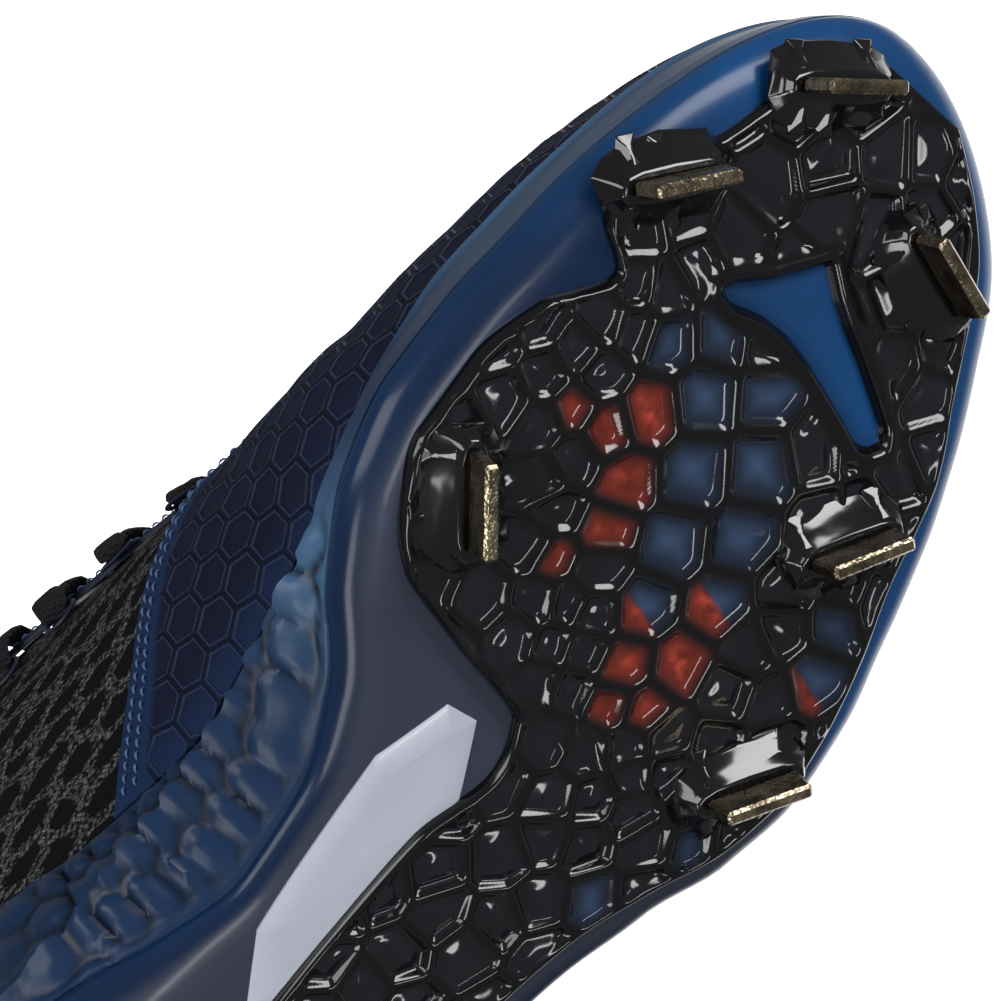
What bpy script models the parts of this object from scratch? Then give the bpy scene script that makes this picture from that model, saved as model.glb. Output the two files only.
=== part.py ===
"""A left baseball cleat, built piece by piece and laid on its outer side.

Each piece is drawn as if the shoe stood up: x runs from heel to toe, y towards
the outer side and z up from the ground line of the plate. One empty then lays
the whole shoe down on its outer side. All sizes are in metres.
"""
from bisect import bisect_right
from collections import namedtuple
from math import asin, atan2, cos, pi, radians, sin, sqrt

import bmesh
import bpy
from mathutils import Matrix, Vector

# Main sizes of the shoe
shoe_length = 0.298
ball_width = 0.108
heel_width = 0.070
upper_height = 0.100
wall_height = 0.040
toe_spring = 0.014
shank_lift = 0.003

# Sizes of the single pieces
upper_wall = 0.0022
sole_height = 0.0175
band_height = 0.012
heel_round = 0.040
toe_round = 0.062
rand_foot = 0.0053
rand_mid = 0.0030
rand_lip = 0.0014
sole_turn = 0.010
guard_thickness = 0.0008
stay_width = 0.015
stay_thickness = 0.0012
stay_reach = 0.013
tongue_half = 0.021
tongue_thickness = 0.004
tongue_crown = 0.003
tongue_top = 0.019
tongue_taper = 0.06
insole_thickness = 0.004
plate_thickness = 0.0020
pedestal_height = 0.0035
pedestal_length = 0.023
pedestal_width = 0.012
pedestal_crest = 0.0055
blade_length = 0.0165
blade_width = 0.0024
blade_height = 0.0065
blade_edge = 0.0005
lace_width = 0.006
lace_height = 0.0022
lace_inset = 0.007
eyelet_pairs = 6

# Clearances between neighbours, and the depth of the worn flat spots
gap = 0.0003
seat_gap = 0.0004
side_gap = 0.0006
stay_gap = 0.0020
tongue_gap = 0.0009
skin_gap = 0.0006
lace_gap = 0.0017
flat_depth = 0.0005

# How finely the forms are cut
stations = 36
ring = 2 * stations
end_crowding = 0.85
upper_rows = 10
form_power = 0.87

# Plan of the sole and of the last. along is a share of the shoe's length, and
# widths are shares of a width that goes from the heel's (0) to the ball's (1).
Plan = namedtuple("Plan", "along ball centre medial lateral last_medial last_lateral")
PLAN = [
    Plan(0.000, 0.0, 0.000, 0.500, 0.500, 0.430, 0.430),
    Plan(0.067, 0.0, 0.000, 0.480, 0.480, 0.415, 0.415),
    Plan(0.151, 0.0, 0.000, 0.495, 0.500, 0.430, 0.430),
    Plan(0.235, 0.0, 0.000, 0.490, 0.515, 0.428, 0.436),
    Plan(0.285, 0.0, 0.000, 0.455, 0.515, 0.420, 0.436),
    Plan(0.336, 0.0, 0.000, 0.400, 0.515, 0.408, 0.440),
    Plan(0.386, 0.2, 0.000, 0.285, 0.468, 0.362, 0.398),
    Plan(0.436, 0.3, 0.000, 0.220, 0.462, 0.345, 0.393),
    Plan(0.487, 0.5, 0.000, 0.218, 0.455, 0.330, 0.390),
    Plan(0.537, 0.8, 0.000, 0.258, 0.455, 0.326, 0.398),
    Plan(0.587, 1.0, 0.000, 0.357, 0.490, 0.338, 0.434),
    Plan(0.638, 1.0, 0.000, 0.437, 0.523, 0.390, 0.472),
    Plan(0.688, 1.0, 0.000, 0.467, 0.514, 0.418, 0.463),
    Plan(0.738, 1.0, 0.000, 0.462, 0.483, 0.413, 0.435),
    Plan(0.789, 1.0, -0.009, 0.430, 0.460, 0.382, 0.412),
    Plan(0.839, 1.0, -0.018, 0.402, 0.437, 0.354, 0.390),
    Plan(0.889, 1.0, -0.028, 0.373, 0.428, 0.326, 0.380),
    Plan(0.940, 1.0, -0.037, 0.352, 0.444, 0.304, 0.392),
    Plan(1.000, 1.0, -0.046, 0.325, 0.425, 0.278, 0.374),
]

# Heights along the sole. parting and seat are shares of band_height and
# sole_height, and the rand's top edges are shares of wall_height.
Rise = namedtuple("Rise", "along parting seat rand_medial rand_lateral")
RISE = [
    Rise(0.000, 1.00, 1.00, 0.95, 0.95),
    Rise(0.168, 1.00, 1.00, 1.00, 0.98),
    Rise(0.285, 0.96, 0.97, 1.04, 0.93),
    Rise(0.342, 0.82, 0.94, 0.94, 0.84),
    Rise(0.379, 0.62, 0.92, 0.79, 0.74),
    Rise(0.443, 0.49, 0.87, 0.60, 0.62),
    Rise(0.490, 0.46, 0.83, 0.46, 0.56),
    Rise(0.520, 0.46, 0.78, 0.38, 0.53),
    Rise(0.570, 0.48, 0.69, 0.34, 0.50),
    Rise(0.638, 0.52, 0.60, 0.35, 0.47),
    Rise(0.711, 0.53, 0.57, 0.46, 0.46),
    Rise(0.775, 0.52, 0.57, 0.58, 0.47),
    Rise(0.839, 0.50, 0.57, 0.61, 0.51),
    Rise(0.889, 0.49, 0.57, 0.70, 0.58),
    Rise(0.940, 0.48, 0.57, 0.77, 0.68),
    Rise(1.000, 0.48, 0.57, 0.78, 0.78),
]

# Upper edge of the upper: the collar, the throat and then the closed ridge.
# lean is a share of the length, ridge and half of ball_width, height of
# upper_height. turn is how far a rib bends over, in degrees, and bulge is a
# share of upper_wall.
Top = namedtuple("Top", "along lean ridge half height turn bulge")
TOP = [
    Top(0.000, 0.014, 0.000, 0.235, 1.000, 42, 1.7),
    Top(0.050, 0.014, 0.000, 0.235, 0.970, 42, 1.7),
    Top(0.117, 0.010, 0.000, 0.244, 0.925, 42, 1.5),
    Top(0.185, 0.007, 0.000, 0.246, 0.900, 42, 1.2),
    Top(0.252, 0.007, 0.000, 0.235, 0.945, 46, 1.0),
    Top(0.319, 0.012, 0.000, 0.200, 1.090, 55, 0.9),
    Top(0.362, 0.016, 0.000, 0.170, 1.220, 64, 0.9),
    Top(0.420, 0.010, -0.012, 0.150, 1.155, 72, 0.9),
    Top(0.503, 0.003, -0.026, 0.138, 1.020, 79, 0.9),
    Top(0.587, 0.000, -0.034, 0.118, 0.860, 84, 0.7),
    Top(0.655, 0.000, -0.032, 0.083, 0.712, 88, 0.5),
    Top(0.688, 0.000, -0.028, 0.042, 0.667, 90, 0.4),
    Top(0.706, 0.000, -0.026, 0.000, 0.650, 90, 0.4),
    Top(0.760, 0.000, -0.024, 0.000, 0.622, 90, 0.4),
    Top(0.822, 0.000, -0.027, 0.000, 0.590, 90, 0.4),
    Top(0.879, 0.000, -0.031, 0.000, 0.557, 90, 0.3),
    Top(0.933, 0.000, -0.036, 0.000, 0.520, 90, 0.2),
    Top(0.967, 0.000, -0.040, 0.000, 0.470, 90, 0.1),
    Top(1.000, 0.000, -0.046, 0.000, 0.350, 90, 0.0),
]
collar_round = 0.030
corner_along = 0.362
throat_front = 0.706
lace_front = 0.672
lace_back = 0.410

# Edges of the plate, as shares of the length and of ball_width
Edge = namedtuple("Edge", "along left right")
PLATE = [
    Edge(0.022, -0.083, 0.083),
    Edge(0.040, -0.150, 0.150),
    Edge(0.074, -0.222, 0.222),
    Edge(0.134, -0.265, 0.272),
    Edge(0.201, -0.270, 0.282),
    Edge(0.268, -0.240, 0.282),
    Edge(0.319, -0.120, 0.280),
    Edge(0.369, -0.030, 0.280),
    Edge(0.436, -0.018, 0.290),
    Edge(0.503, -0.010, 0.322),
    Edge(0.554, 0.028, 0.380),
    Edge(0.584, 0.000, 0.428),
    Edge(0.597, -0.150, 0.444),
    Edge(0.611, -0.285, 0.456),
    Edge(0.638, -0.361, 0.470),
    Edge(0.674, -0.407, 0.462),
    Edge(0.718, -0.407, 0.437),
    Edge(0.762, -0.370, 0.400),
    Edge(0.799, -0.296, 0.382),
    Edge(0.815, -0.355, 0.374),
    Edge(0.836, -0.385, 0.352),
    Edge(0.859, -0.333, 0.318),
    Edge(0.893, -0.268, 0.275),
    Edge(0.926, -0.225, 0.232),
    Edge(0.953, -0.170, 0.165),
    Edge(0.978, -0.095, 0.075),
]

# The opening through which the carrier shows, as the plate's shares
Corner = namedtuple("Corner", "along across")
WINDOW = [
    Corner(0.826, -0.155),
    Corner(0.846, -0.110),
    Corner(0.866, -0.050),
    Corner(0.862, 0.020),
    Corner(0.846, 0.105),
    Corner(0.818, 0.220),
    Corner(0.808, 0.185),
    Corner(0.820, 0.100),
    Corner(0.829, -0.020),
]

# Steel blades: place as the plate's shares, and heading from the x axis
Stud = namedtuple("Stud", "along across heading")
STUDS = [
    Stud(0.946, -0.165, 56),
    Stud(0.851, -0.320, 45),
    Stud(0.904, 0.145, 107),
    Stud(0.661, -0.296, 140),
    Stud(0.762, 0.275, 38),
    Stud(0.628, 0.380, 39),
    Stud(0.250, -0.165, 135),
    Stud(0.250, 0.195, 45),
    Stud(0.075, 0.000, 90),
]

# The guard's slanting rear edges: along at the rand and at the eyestay
guard_medial = (0.410, 0.635)
guard_lateral = (0.688, 0.690)

Finish = namedtuple("Finish", "colour rough metal")
FINISHES = {
    "carrier": Finish((0.010, 0.075, 0.25), 0.18, 0.0),
    "sidewall": Finish((0.020, 0.085, 0.24), 0.38, 0.0),
    "upper": Finish((0.030, 0.032, 0.036), 0.85, 0.0),
    "guard": Finish((0.020, 0.020, 0.050), 0.45, 0.0),
    "eyestay": Finish((0.018, 0.020, 0.040), 0.50, 0.0),
    "tongue": Finish((0.020, 0.020, 0.022), 0.90, 0.0),
    "insole": Finish((0.015, 0.015, 0.017), 0.90, 0.0),
    "lace": Finish((0.012, 0.012, 0.014), 0.85, 0.0),
    "outsole_plate": Finish((0.012, 0.012, 0.014), 0.12, 0.0),
    "blade": Finish((0.62, 0.58, 0.50), 0.30, 1.0),
}


def smooth(rows, column, along):
    """Value of one column at a place along the shoe, without overshoot."""
    spots = [row.along for row in rows]
    values = [getattr(row, column) for row in rows]
    along = min(max(along, spots[0]), spots[-1])
    i = min(max(bisect_right(spots, along) - 1, 0), len(rows) - 2)

    def rise(j):
        return (values[j + 1] - values[j]) / (spots[j + 1] - spots[j])

    def slope(j):
        if j == 0 or j == len(rows) - 1:
            return rise(min(j, len(rows) - 2))
        before = rise(j - 1)
        after = rise(j)
        if before * after <= 0:
            return 0.0
        return 2 * before * after / (before + after)

    span = spots[i + 1] - spots[i]
    t = (along - spots[i]) / span
    start = values[i] * (1 + 2 * t) * (1 - t) ** 2 + slope(i) * span * t * (1 - t) ** 2
    end = values[i + 1] * (3 - 2 * t) * t ** 2 - slope(i + 1) * span * (1 - t) * t ** 2
    return start + end


def station(s):
    """Share of the length at a place s on the ring, which runs round the shoe."""
    k = s % ring
    k = min(k, ring - k) / stations
    return end_crowding * (1 - cos(pi * k)) / 2 + (1 - end_crowding) * k


def side(s):
    """-1 on the inner (medial) half of the ring and 1 on the outer one."""
    return -1 if (s % ring) <= stations else 1


def ring_place(along, which):
    """Place s on the ring for a share of the length, on one side."""
    low = 0.0
    high = float(stations)
    for _ in range(40):
        middle = (low + high) / 2
        if station(middle) < along:
            low = middle
        else:
            high = middle
    return low if which < 0 else ring - low


def round_end(x, length, heel, toe):
    """Factor that rounds a plan off at its heel and its toe."""
    near = min(x / heel, 1.0)
    far = min((length - x) / toe, 1.0)
    return sqrt(max(1 - (1 - near) ** 2, 0.0)) * sqrt(max(1 - (1 - far) ** 2, 0.0))


def local_width(along):
    return heel_width + (ball_width - heel_width) * smooth(PLAN, "ball", along)


def plan_point(s, last):
    """Plan point of the sole's edge, or of the last's where last is true."""
    along = station(s)
    column = "medial" if side(s) < 0 else "lateral"
    margin = rand_foot if last else 0.0
    length = shoe_length - 2 * margin
    x = along * length
    half = smooth(PLAN, ("last_" if last else "") + column, along) * local_width(along)
    half *= round_end(x, length, heel_round - margin, toe_round - margin)
    centre = smooth(PLAN, "centre", along) * local_width(along)
    return Vector((margin + x, centre + side(s) * half, 0.0))


def outward(s, last):
    """Unit vector that points out of the plan at s."""
    run = plan_point(s + 0.25, last) - plan_point(s - 0.25, last)
    return Vector((run.y, -run.x, 0.0)).normalized()


def ground(along):
    """Height of the sole's bottom face: toe spring and the raised shank."""
    spring = toe_spring * max(0.0, (along - 0.654) / 0.346) ** 2
    waist = min(max((along - 0.26) / 0.32, 0.0), 1.0)
    return spring + shank_lift * sin(pi * waist) ** 2


def spring_only(along):
    return toe_spring * max(0.0, (along - 0.654) / 0.346) ** 2


def parting(along):
    return spring_only(along) + band_height * smooth(RISE, "parting", along)


def seat(along):
    return spring_only(along) + sole_height * smooth(RISE, "seat", along)


def edge_point(s, last, inset, level):
    """Point inside the plan of sole or last, at the level of its own place."""
    point = plan_point(s, last) - outward(s, last) * inset
    point.z = level(point.x / shoe_length)
    return point


def top_half(s):
    """Half width of the opening at s, nought where the upper is closed."""
    along = station(s)
    rounding = min(along * shoe_length / collar_round, 1.0)
    return smooth(TOP, "half", along) * ball_width * sqrt(1 - (1 - rounding) ** 2)


def closed_above(s):
    return station(s) >= throat_front


def top_edge(s):
    """Upper end of the rib at s: on the collar, the throat or the ridge."""
    along = station(s)
    x = (plan_point(s, True).x + plan_point(ring - s, True).x) / 2
    half = 0.0 if closed_above(s) else top_half(s)
    return Vector((
        x + smooth(TOP, "lean", along) * shoe_length,
        smooth(TOP, "ridge", along) * ball_width + side(s) * half,
        smooth(TOP, "height", along) * upper_height,
    ))


def bare_skin(s, v):
    """Outer face of the upper: s runs round the shoe, v from seat to top."""
    along = station(s)
    foot = edge_point(s, True, 0.0, seat) + Vector((0.0, 0.0, gap))
    head = top_edge(s)
    full = radians(smooth(TOP, "turn", along))
    bend = full * v
    lean = (1 - abs(cos(bend)) ** form_power) / (1 - max(cos(full), 0.0) ** form_power)
    climb = sin(bend) ** form_power / sin(full) ** form_power
    bulge = smooth(TOP, "bulge", along) * upper_wall * sin(pi * v)
    point = foot + outward(s, True) * bulge
    point.x += (head.x - foot.x) * lean
    point.y += (head.y - foot.y) * lean
    point.z = foot.z + (head.z - foot.z) * climb
    return point


def skin_normal(s, v):
    w = min(max(v, 0.04), 0.96)
    climb = bare_skin(s, w + 0.03) - bare_skin(s, w - 0.03)
    run = bare_skin(s + 0.2, w) - bare_skin(s - 0.2, w)
    return run.cross(climb).normalized()


def skin(s, v, out):
    """Point at a distance out of the upper's outer face, or inside it below 0."""
    normal = skin_normal(s, v)
    if v >= 1 and closed_above(s):
        normal = (normal + skin_normal(ring - s, v)).normalized()
    point = bare_skin(s, v) + normal * out
    if v <= 0:
        flat = outward(s, True) * out
        point = bare_skin(s, v) + flat
    return point


def rib_length(s):
    points = [bare_skin(s, step / 12) for step in range(13)]
    return sum((b - a).length for a, b in zip(points, points[1:]))


def below_top(s, distance):
    """The v that lies a distance down the rib from its upper end."""
    return max(1 - distance / rib_length(s), 0.05)


def rand_top(s):
    """The v where the sidewall's top edge crosses the rib."""
    along = station(s)
    column = "rand_medial" if side(s) < 0 else "rand_lateral"
    level = smooth(RISE, column, along) * wall_height
    foot = edge_point(s, True, 0.0, seat).z + gap
    head = top_edge(s).z
    full = radians(smooth(TOP, "turn", along))
    share = min(max((level - foot) / (head - foot), 0.05), 0.9)
    bend = asin((share * sin(full) ** form_power) ** (1 / form_power))
    return bend / full


def finish_mesh(bm, name, parent):
    """Weld, close and triangulate a piece, and give it its own material."""
    bmesh.ops.remove_doubles(bm, verts=bm.verts, dist=0.000001)
    bmesh.ops.recalc_face_normals(bm, faces=bm.faces)
    bmesh.ops.triangulate(bm, faces=bm.faces)
    if bm.calc_volume(signed=True) < 0:
        bmesh.ops.reverse_faces(bm, faces=bm.faces)
    mesh = bpy.data.meshes.new(name)
    bm.to_mesh(mesh)
    bm.free()
    mesh.shade_smooth()
    mesh.set_sharp_from_angle(angle=radians(40))
    look = FINISHES["blade" if name.startswith("blade") else name]
    material = bpy.data.materials.new(name)
    material.use_nodes = True
    shader = material.node_tree.nodes["Principled BSDF"]
    shader.inputs["Base Color"].default_value = (*look.colour, 1.0)
    shader.inputs["Roughness"].default_value = look.rough
    shader.inputs["Metallic"].default_value = look.metal
    mesh.materials.append(material)
    piece = bpy.data.objects.new(name, mesh)
    piece.parent = parent
    bpy.context.scene.collection.objects.link(piece)
    return piece


def add_wall(bm, columns, rows, point, shut=None, cyclic=False):
    """Add a closed wall. point(c, r, face) gives its outer (0) or inner (1)
    face, and shut(c) tells where the last row meets its mirror image."""
    grid = [[[bm.verts.new(point(c, r, face)) for r in range(rows)]
             for c in range(columns)] for face in (0, 1)]
    outer, inner = grid
    spans = columns if cyclic else columns - 1
    for c in range(spans):
        d = (c + 1) % columns
        for r in range(rows - 1):
            bm.faces.new((outer[c][r], outer[d][r], outer[d][r + 1], outer[c][r + 1]))
            bm.faces.new((inner[c][r], inner[c][r + 1], inner[d][r + 1], inner[d][r]))
        bm.faces.new((outer[d][0], outer[c][0], inner[c][0], inner[d][0]))
        if shut is None or not (shut(c) and shut(d)):
            bm.faces.new((outer[c][-1], outer[d][-1], inner[d][-1], inner[c][-1]))
    if not cyclic:
        for r in range(rows - 1):
            bm.faces.new((outer[0][r], outer[0][r + 1], inner[0][r + 1], inner[0][r]))
            bm.faces.new((outer[-1][r + 1], outer[-1][r], inner[-1][r], inner[-1][r + 1]))


def add_cap(bm, loop, strips):
    """Close a ring of vertices with chords across the shoe."""
    chords = [[loop[0]] * (strips + 1)]
    for k in range(1, stations):
        near = loop[k]
        far = loop[ring - k]
        inside = [bm.verts.new(near.co.lerp(far.co, n / strips)) for n in range(1, strips)]
        chords.append([near, *inside, far])
    chords.append([loop[stations]] * (strips + 1))
    for before, after in zip(chords, chords[1:]):
        for n in range(strips):
            corners = dict.fromkeys((before[n], before[n + 1], after[n + 1], after[n]))
            bm.faces.new(tuple(corners))


def add_rings(bm, levels):
    """Skin a stack of rings and return the vertices of each."""
    loops = [[bm.verts.new(level(s)) for s in range(ring)] for level in levels]
    for low, high in zip(loops, loops[1:]):
        for s in range(ring):
            t = (s + 1) % ring
            bm.faces.new((low[s], low[t], high[t], high[s]))
    return loops


def make_carrier(parent):
    """Bottom of the midsole: a pan with a ledge for the sidewall."""
    def at(inset, level):
        return lambda s: edge_point(s, False, inset, level)

    def low(share):
        return lambda along: ground(along) + (parting(along) - ground(along)) * share

    bm = bmesh.new()
    loops = add_rings(bm, [
        at(sole_turn, ground),
        at(sole_turn * 0.35, low(0.12)),
        at(sole_turn * 0.08, low(0.5)),
        at(0.0, parting),
        at(rand_foot + side_gap, parting),
        lambda s: edge_point(s, True, 1.5 * side_gap, seat),
    ])
    add_cap(bm, loops[0], 4)
    add_cap(bm, loops[-1], 2)
    return finish_mesh(bm, "carrier", parent)


def make_sidewall(parent):
    """The rand: thick at its foot, thin at its lip, cut from the upper's skin."""
    def point(s, r, face):
        foot = edge_point(s, False, 0.0 if face == 0 else rand_foot - seat_gap, parting)
        foot.z += seat_gap
        if r == 0:
            return foot
        grade = (rand_foot, rand_mid, rand_lip)
        if r == 1:
            shoulder = skin(s, 0.0, gap + rand_foot * 0.8 if face == 0 else gap)
            return foot.lerp(shoulder, 0.5)
        out = gap if face else gap + grade[r - 2] * (0.8 if r == 2 else 1.0)
        return skin(s, rand_top(s) * (0.0, 0.55, 1.0)[r - 2], out)

    bm = bmesh.new()
    add_wall(bm, ring, 5, point, cyclic=True)
    return finish_mesh(bm, "sidewall", parent)


def make_upper(parent):
    """One hollow wall, open underneath, at the throat and at the collar."""
    def point(s, r, face):
        return skin(s, r / (upper_rows - 1), -upper_wall * face)

    bm = bmesh.new()
    add_wall(bm, ring, upper_rows, point, shut=closed_above, cyclic=True)
    return finish_mesh(bm, "upper", parent)


def stay_edge(s):
    """The v of the eyestay's lower edge, which closes in front of the throat."""
    ahead = (station(s) - throat_front) * shoe_length / stay_reach
    if ahead >= 1:
        return 1.0
    width = stay_width * sqrt(1 - max(ahead, 0.0) ** 2)
    return below_top(s, width)


def make_guard(parent):
    """Embossed skin over the toe and the inner forefoot."""
    rows = 7
    slant = 7
    first = int(ring_place(guard_medial[1], -1)) + 2
    last = int(ring_place(guard_lateral[1], 1)) - 1
    spots = []
    for s in range(first, last + 1):
        spots.append(float(s))
        ahead = abs(station(s + 0.5) - throat_front)
        if ahead < 2 * stay_reach / shoe_length and s < last:
            spots.append(s + 0.5)

    def place(c, share):
        if c < slant:
            start = guard_medial[0] + (guard_medial[1] - guard_medial[0]) * share
            return ring_place(start, -1) * (1 - c / slant) + first * c / slant
        if c >= columns - slant:
            start = guard_lateral[0] + (guard_lateral[1] - guard_lateral[0]) * share
            back = (columns - 1 - c) / slant
            return ring_place(start, 1) * (1 - back) + last * back
        return spots[c - slant]

    columns = len(spots) + 2 * slant

    def closed(c):
        return stay_edge(place(c, 1.0)) >= 1

    def point(c, r, face):
        share = r / (rows - 1)
        s = place(c, share)
        low = rand_top(s) + side_gap / rib_length(s) * 1.5
        high = stay_edge(s)
        if high < 1:
            high -= stay_gap / rib_length(s)
        return skin(s, low + (high - low) * share, skin_gap + guard_thickness * (1 - face))

    bm = bmesh.new()
    add_wall(bm, columns, rows, point, shut=closed)
    return finish_mesh(bm, "guard", parent)


def make_eyestay(parent):
    """Band round the throat: two legs joined over the ridge in front of it."""
    rows = 3
    leg = 11
    nose = 3
    back = ring_place(corner_along + 0.01, -1)
    front = ring_place(throat_front + 0.0001, -1)
    tip = ring_place(throat_front + 0.92 * stay_reach / shoe_length, -1)
    spots = [back + (front - back) * n / leg for n in range(leg + 1)]
    spots += [front + (tip - front) * n / nose for n in range(1, nose + 1)]
    bm = bmesh.new()
    for which in (-1, 1):
        def place(c, which=which):
            return spots[c] if which < 0 else ring - spots[c]

        def point(c, r, face):
            s = place(c)
            low = stay_edge(s)
            v = low + (1 - low) * r / (rows - 1)
            return skin(s, v, skin_gap + stay_thickness * (1 - face))

        add_wall(bm, len(spots), rows, point, shut=lambda c: closed_above(place(c)))
    return finish_mesh(bm, "eyestay", parent)


def tongue_point(along, reach, out):
    """Point under the throat at a side reach from the ridge."""
    which = -1 if reach < 0 else 1
    s = ring_place(along, which)
    half = 0.0 if closed_above(s) else top_half(s)
    if abs(reach) < half:
        left = skin(ring_place(along, -1), 1.0, out)
        right = skin(ring_place(along, 1), 1.0, out)
        share = (reach + half) / (2 * half)
        point = left.lerp(right, share)
        point.z += tongue_crown * (half / tongue_half) ** 2 * (1 - (reach / half) ** 2)
        return point
    ridge = smooth(TOP, "ridge", along) * ball_width
    low = 0.3
    high = 1.0
    for _ in range(24):
        middle = (low + high) / 2
        if abs(bare_skin(s, middle).y - ridge) > abs(reach):
            low = middle
        else:
            high = middle
    return skin(s, high, out)


def make_tongue(parent):
    """Pad that follows the inside of the throat and stands out above it."""
    steps = 12
    tip_steps = 4
    front = throat_front + 0.03
    back = corner_along + 0.012

    def point(c, r, face):
        along = front + (back - front) * min(c / steps, 1.0)
        half = top_half(ring_place(along, 1))
        tuck = min((along - back) / tongue_taper, 1.0)
        wide = tongue_half * tuck + (half - tongue_gap) * (1 - tuck)
        reach = wide * (-1.0, -0.82, -0.62, -0.32, 0.0, 0.32, 0.62, 0.82, 1.0)[r]
        out = -(upper_wall + tongue_gap + tongue_thickness * face)
        spot = tongue_point(along, reach, out)
        past = max(c - steps, 0) / tip_steps
        return spot + Vector((-0.85, 0.0, 0.35 + 0.35 * past)) * tongue_top * past

    bm = bmesh.new()
    add_wall(bm, steps + tip_steps + 1, 9, point)
    return finish_mesh(bm, "tongue", parent)


def make_insole(parent):
    """Flat sock inside the upper, on the carrier."""
    inset = upper_wall + side_gap

    def at(rise):
        return lambda s: edge_point(s, True, inset, lambda along: seat(along) + rise)

    bm = bmesh.new()
    loops = add_rings(bm, [at(gap), at(gap + insole_thickness)])
    add_cap(bm, loops[0], 2)
    add_cap(bm, loops[1], 2)
    return finish_mesh(bm, "insole", parent)


def add_lace_run(bm, start_along, end_along, first_side):
    """Flat strand that crosses the throat from one eyelet to another."""
    parts = 6
    lift = skin_gap + stay_thickness + lace_gap + lace_height / 2
    middles = []
    ups = []
    for n in range(parts + 1):
        share = n / parts
        along = start_along + (end_along - start_along) * share
        wide = top_half(ring_place(along, 1)) + lace_inset
        reach = first_side * wide * (1 - 2 * share)
        middles.append(tongue_point(along, reach, lift))
        ups.append(middles[-1] - tongue_point(along, reach, 0.0))
    loops = []
    for n, middle in enumerate(middles):
        run = (middles[min(n + 1, parts)] - middles[max(n - 1, 0)]).normalized()
        width = run.cross(ups[n]).normalized() * lace_width / 2
        up = width.cross(run).normalized() * lace_height / 2
        up *= -1 if up.z < 0 else 1
        corners = (-width - up, width - up, width + up, up - width)
        loops.append([bm.verts.new(middle + corner) for corner in corners])
    for low, high in zip(loops, loops[1:]):
        for n in range(4):
            m = (n + 1) % 4
            bm.faces.new((low[n], low[m], high[m], high[n]))
    bm.faces.new(loops[0][::-1])
    bm.faces.new(loops[-1])


def make_lace(parent):
    """Crossings over the throat, joined into one solid."""
    spots = [lace_front + (lace_back - lace_front) * pair / (eyelet_pairs - 1)
             for pair in range(eyelet_pairs)]
    runs = [(spots[0], spots[0], -1)]
    for first_side in (-1, 1):
        which = first_side
        for start, end in zip(spots, spots[1:]):
            runs.append((start, end, which))
            which = -which
    strands = []
    for run in runs:
        bm = bmesh.new()
        add_lace_run(bm, *run)
        strands.append(finish_mesh(bm, "lace", parent))
    for number, strand in enumerate(strands[1:]):
        strand.name = f"strand_{number}"
        join_cut(strands[0], strand, "UNION")
    strands[0].name = "lace"
    return strands[0]


def join_cut(piece, tool, operation):
    """Keep a tool out of the model and use it on a piece."""
    tool.hide_render = True
    tool.display_type = "WIRE"
    cut = piece.modifiers.new(tool.name, "BOOLEAN")
    cut.operation = operation
    cut.solver = "EXACT"
    cut.object = tool


def stud_frame(stud):
    """Place on the plate's top face and turn of a stud, square to the plate."""
    step = 0.01
    rise = ground(stud.along + step) - ground(stud.along - step)
    tilt = Matrix.Rotation(-atan2(rise, 2 * step * shoe_length), 3, "Y")
    turn = tilt @ Matrix.Rotation(radians(stud.heading), 3, "Z")
    place = Vector((
        stud.along * shoe_length,
        stud.across * ball_width,
        ground(stud.along) - gap,
    ))
    return place, turn


def add_block(bm, place, turn, top, bottom, depth):
    """Block with a top and a bottom rectangle, hanging down from its place."""
    corners = []
    for size, drop in ((top, 0.0), (bottom, depth)):
        for x, y in ((-1, -1), (1, -1), (1, 1), (-1, 1)):
            corner = Vector((x * size[0] / 2, y * size[1] / 2, -drop))
            corners.append(bm.verts.new(place + turn @ corner))
    low = corners[:4]
    high = corners[4:]
    for n in range(4):
        m = (n + 1) % 4
        bm.faces.new((low[n], low[m], high[m], high[n]))
    bm.faces.new(low[::-1])
    bm.faces.new(high)


def make_plate(parent):
    """Moulded plate under the carrier, with a window and stud pedestals."""
    spans = 44
    strips = 5
    first = PLATE[0].along
    last = PLATE[-1].along

    def point(c, r, face):
        along = first + (last - first) * c / spans
        left = smooth(PLATE, "left", along) * ball_width
        right = smooth(PLATE, "right", along) * ball_width
        level = ground(along) - gap - plate_thickness * (1 - face)
        return Vector((along * shoe_length, left + (right - left) * r / strips, level))

    bm = bmesh.new()
    add_wall(bm, spans + 1, strips + 1, point)
    plate = finish_mesh(bm, "outsole_plate", parent)

    bm = bmesh.new()
    for stud in STUDS:
        place, turn = stud_frame(stud)
        root = place - turn @ Vector((0.0, 0.0, plate_thickness * 0.5))
        add_block(bm, root, turn, (pedestal_length, pedestal_width),
                  (pedestal_length * 0.85, pedestal_crest),
                  pedestal_height + plate_thickness * 0.5)
    pedestals = finish_mesh(bm, "outsole_plate", parent)
    pedestals.name = "pedestals"
    join_cut(plate, pedestals, "UNION")

    bm = bmesh.new()
    depth = toe_spring + plate_thickness + pedestal_height
    rims = []
    for level in (depth, -depth):
        rims.append([bm.verts.new((corner.along * shoe_length,
                                   corner.across * ball_width, level))
                     for corner in WINDOW])
    for n in range(len(WINDOW)):
        m = (n + 1) % len(WINDOW)
        bm.faces.new((rims[0][n], rims[0][m], rims[1][m], rims[1][n]))
    bm.faces.new(rims[0][::-1])
    bm.faces.new(rims[1])
    window = finish_mesh(bm, "outsole_plate", parent)
    window.name = "window"
    join_cut(plate, window, "DIFFERENCE")
    return plate


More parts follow.
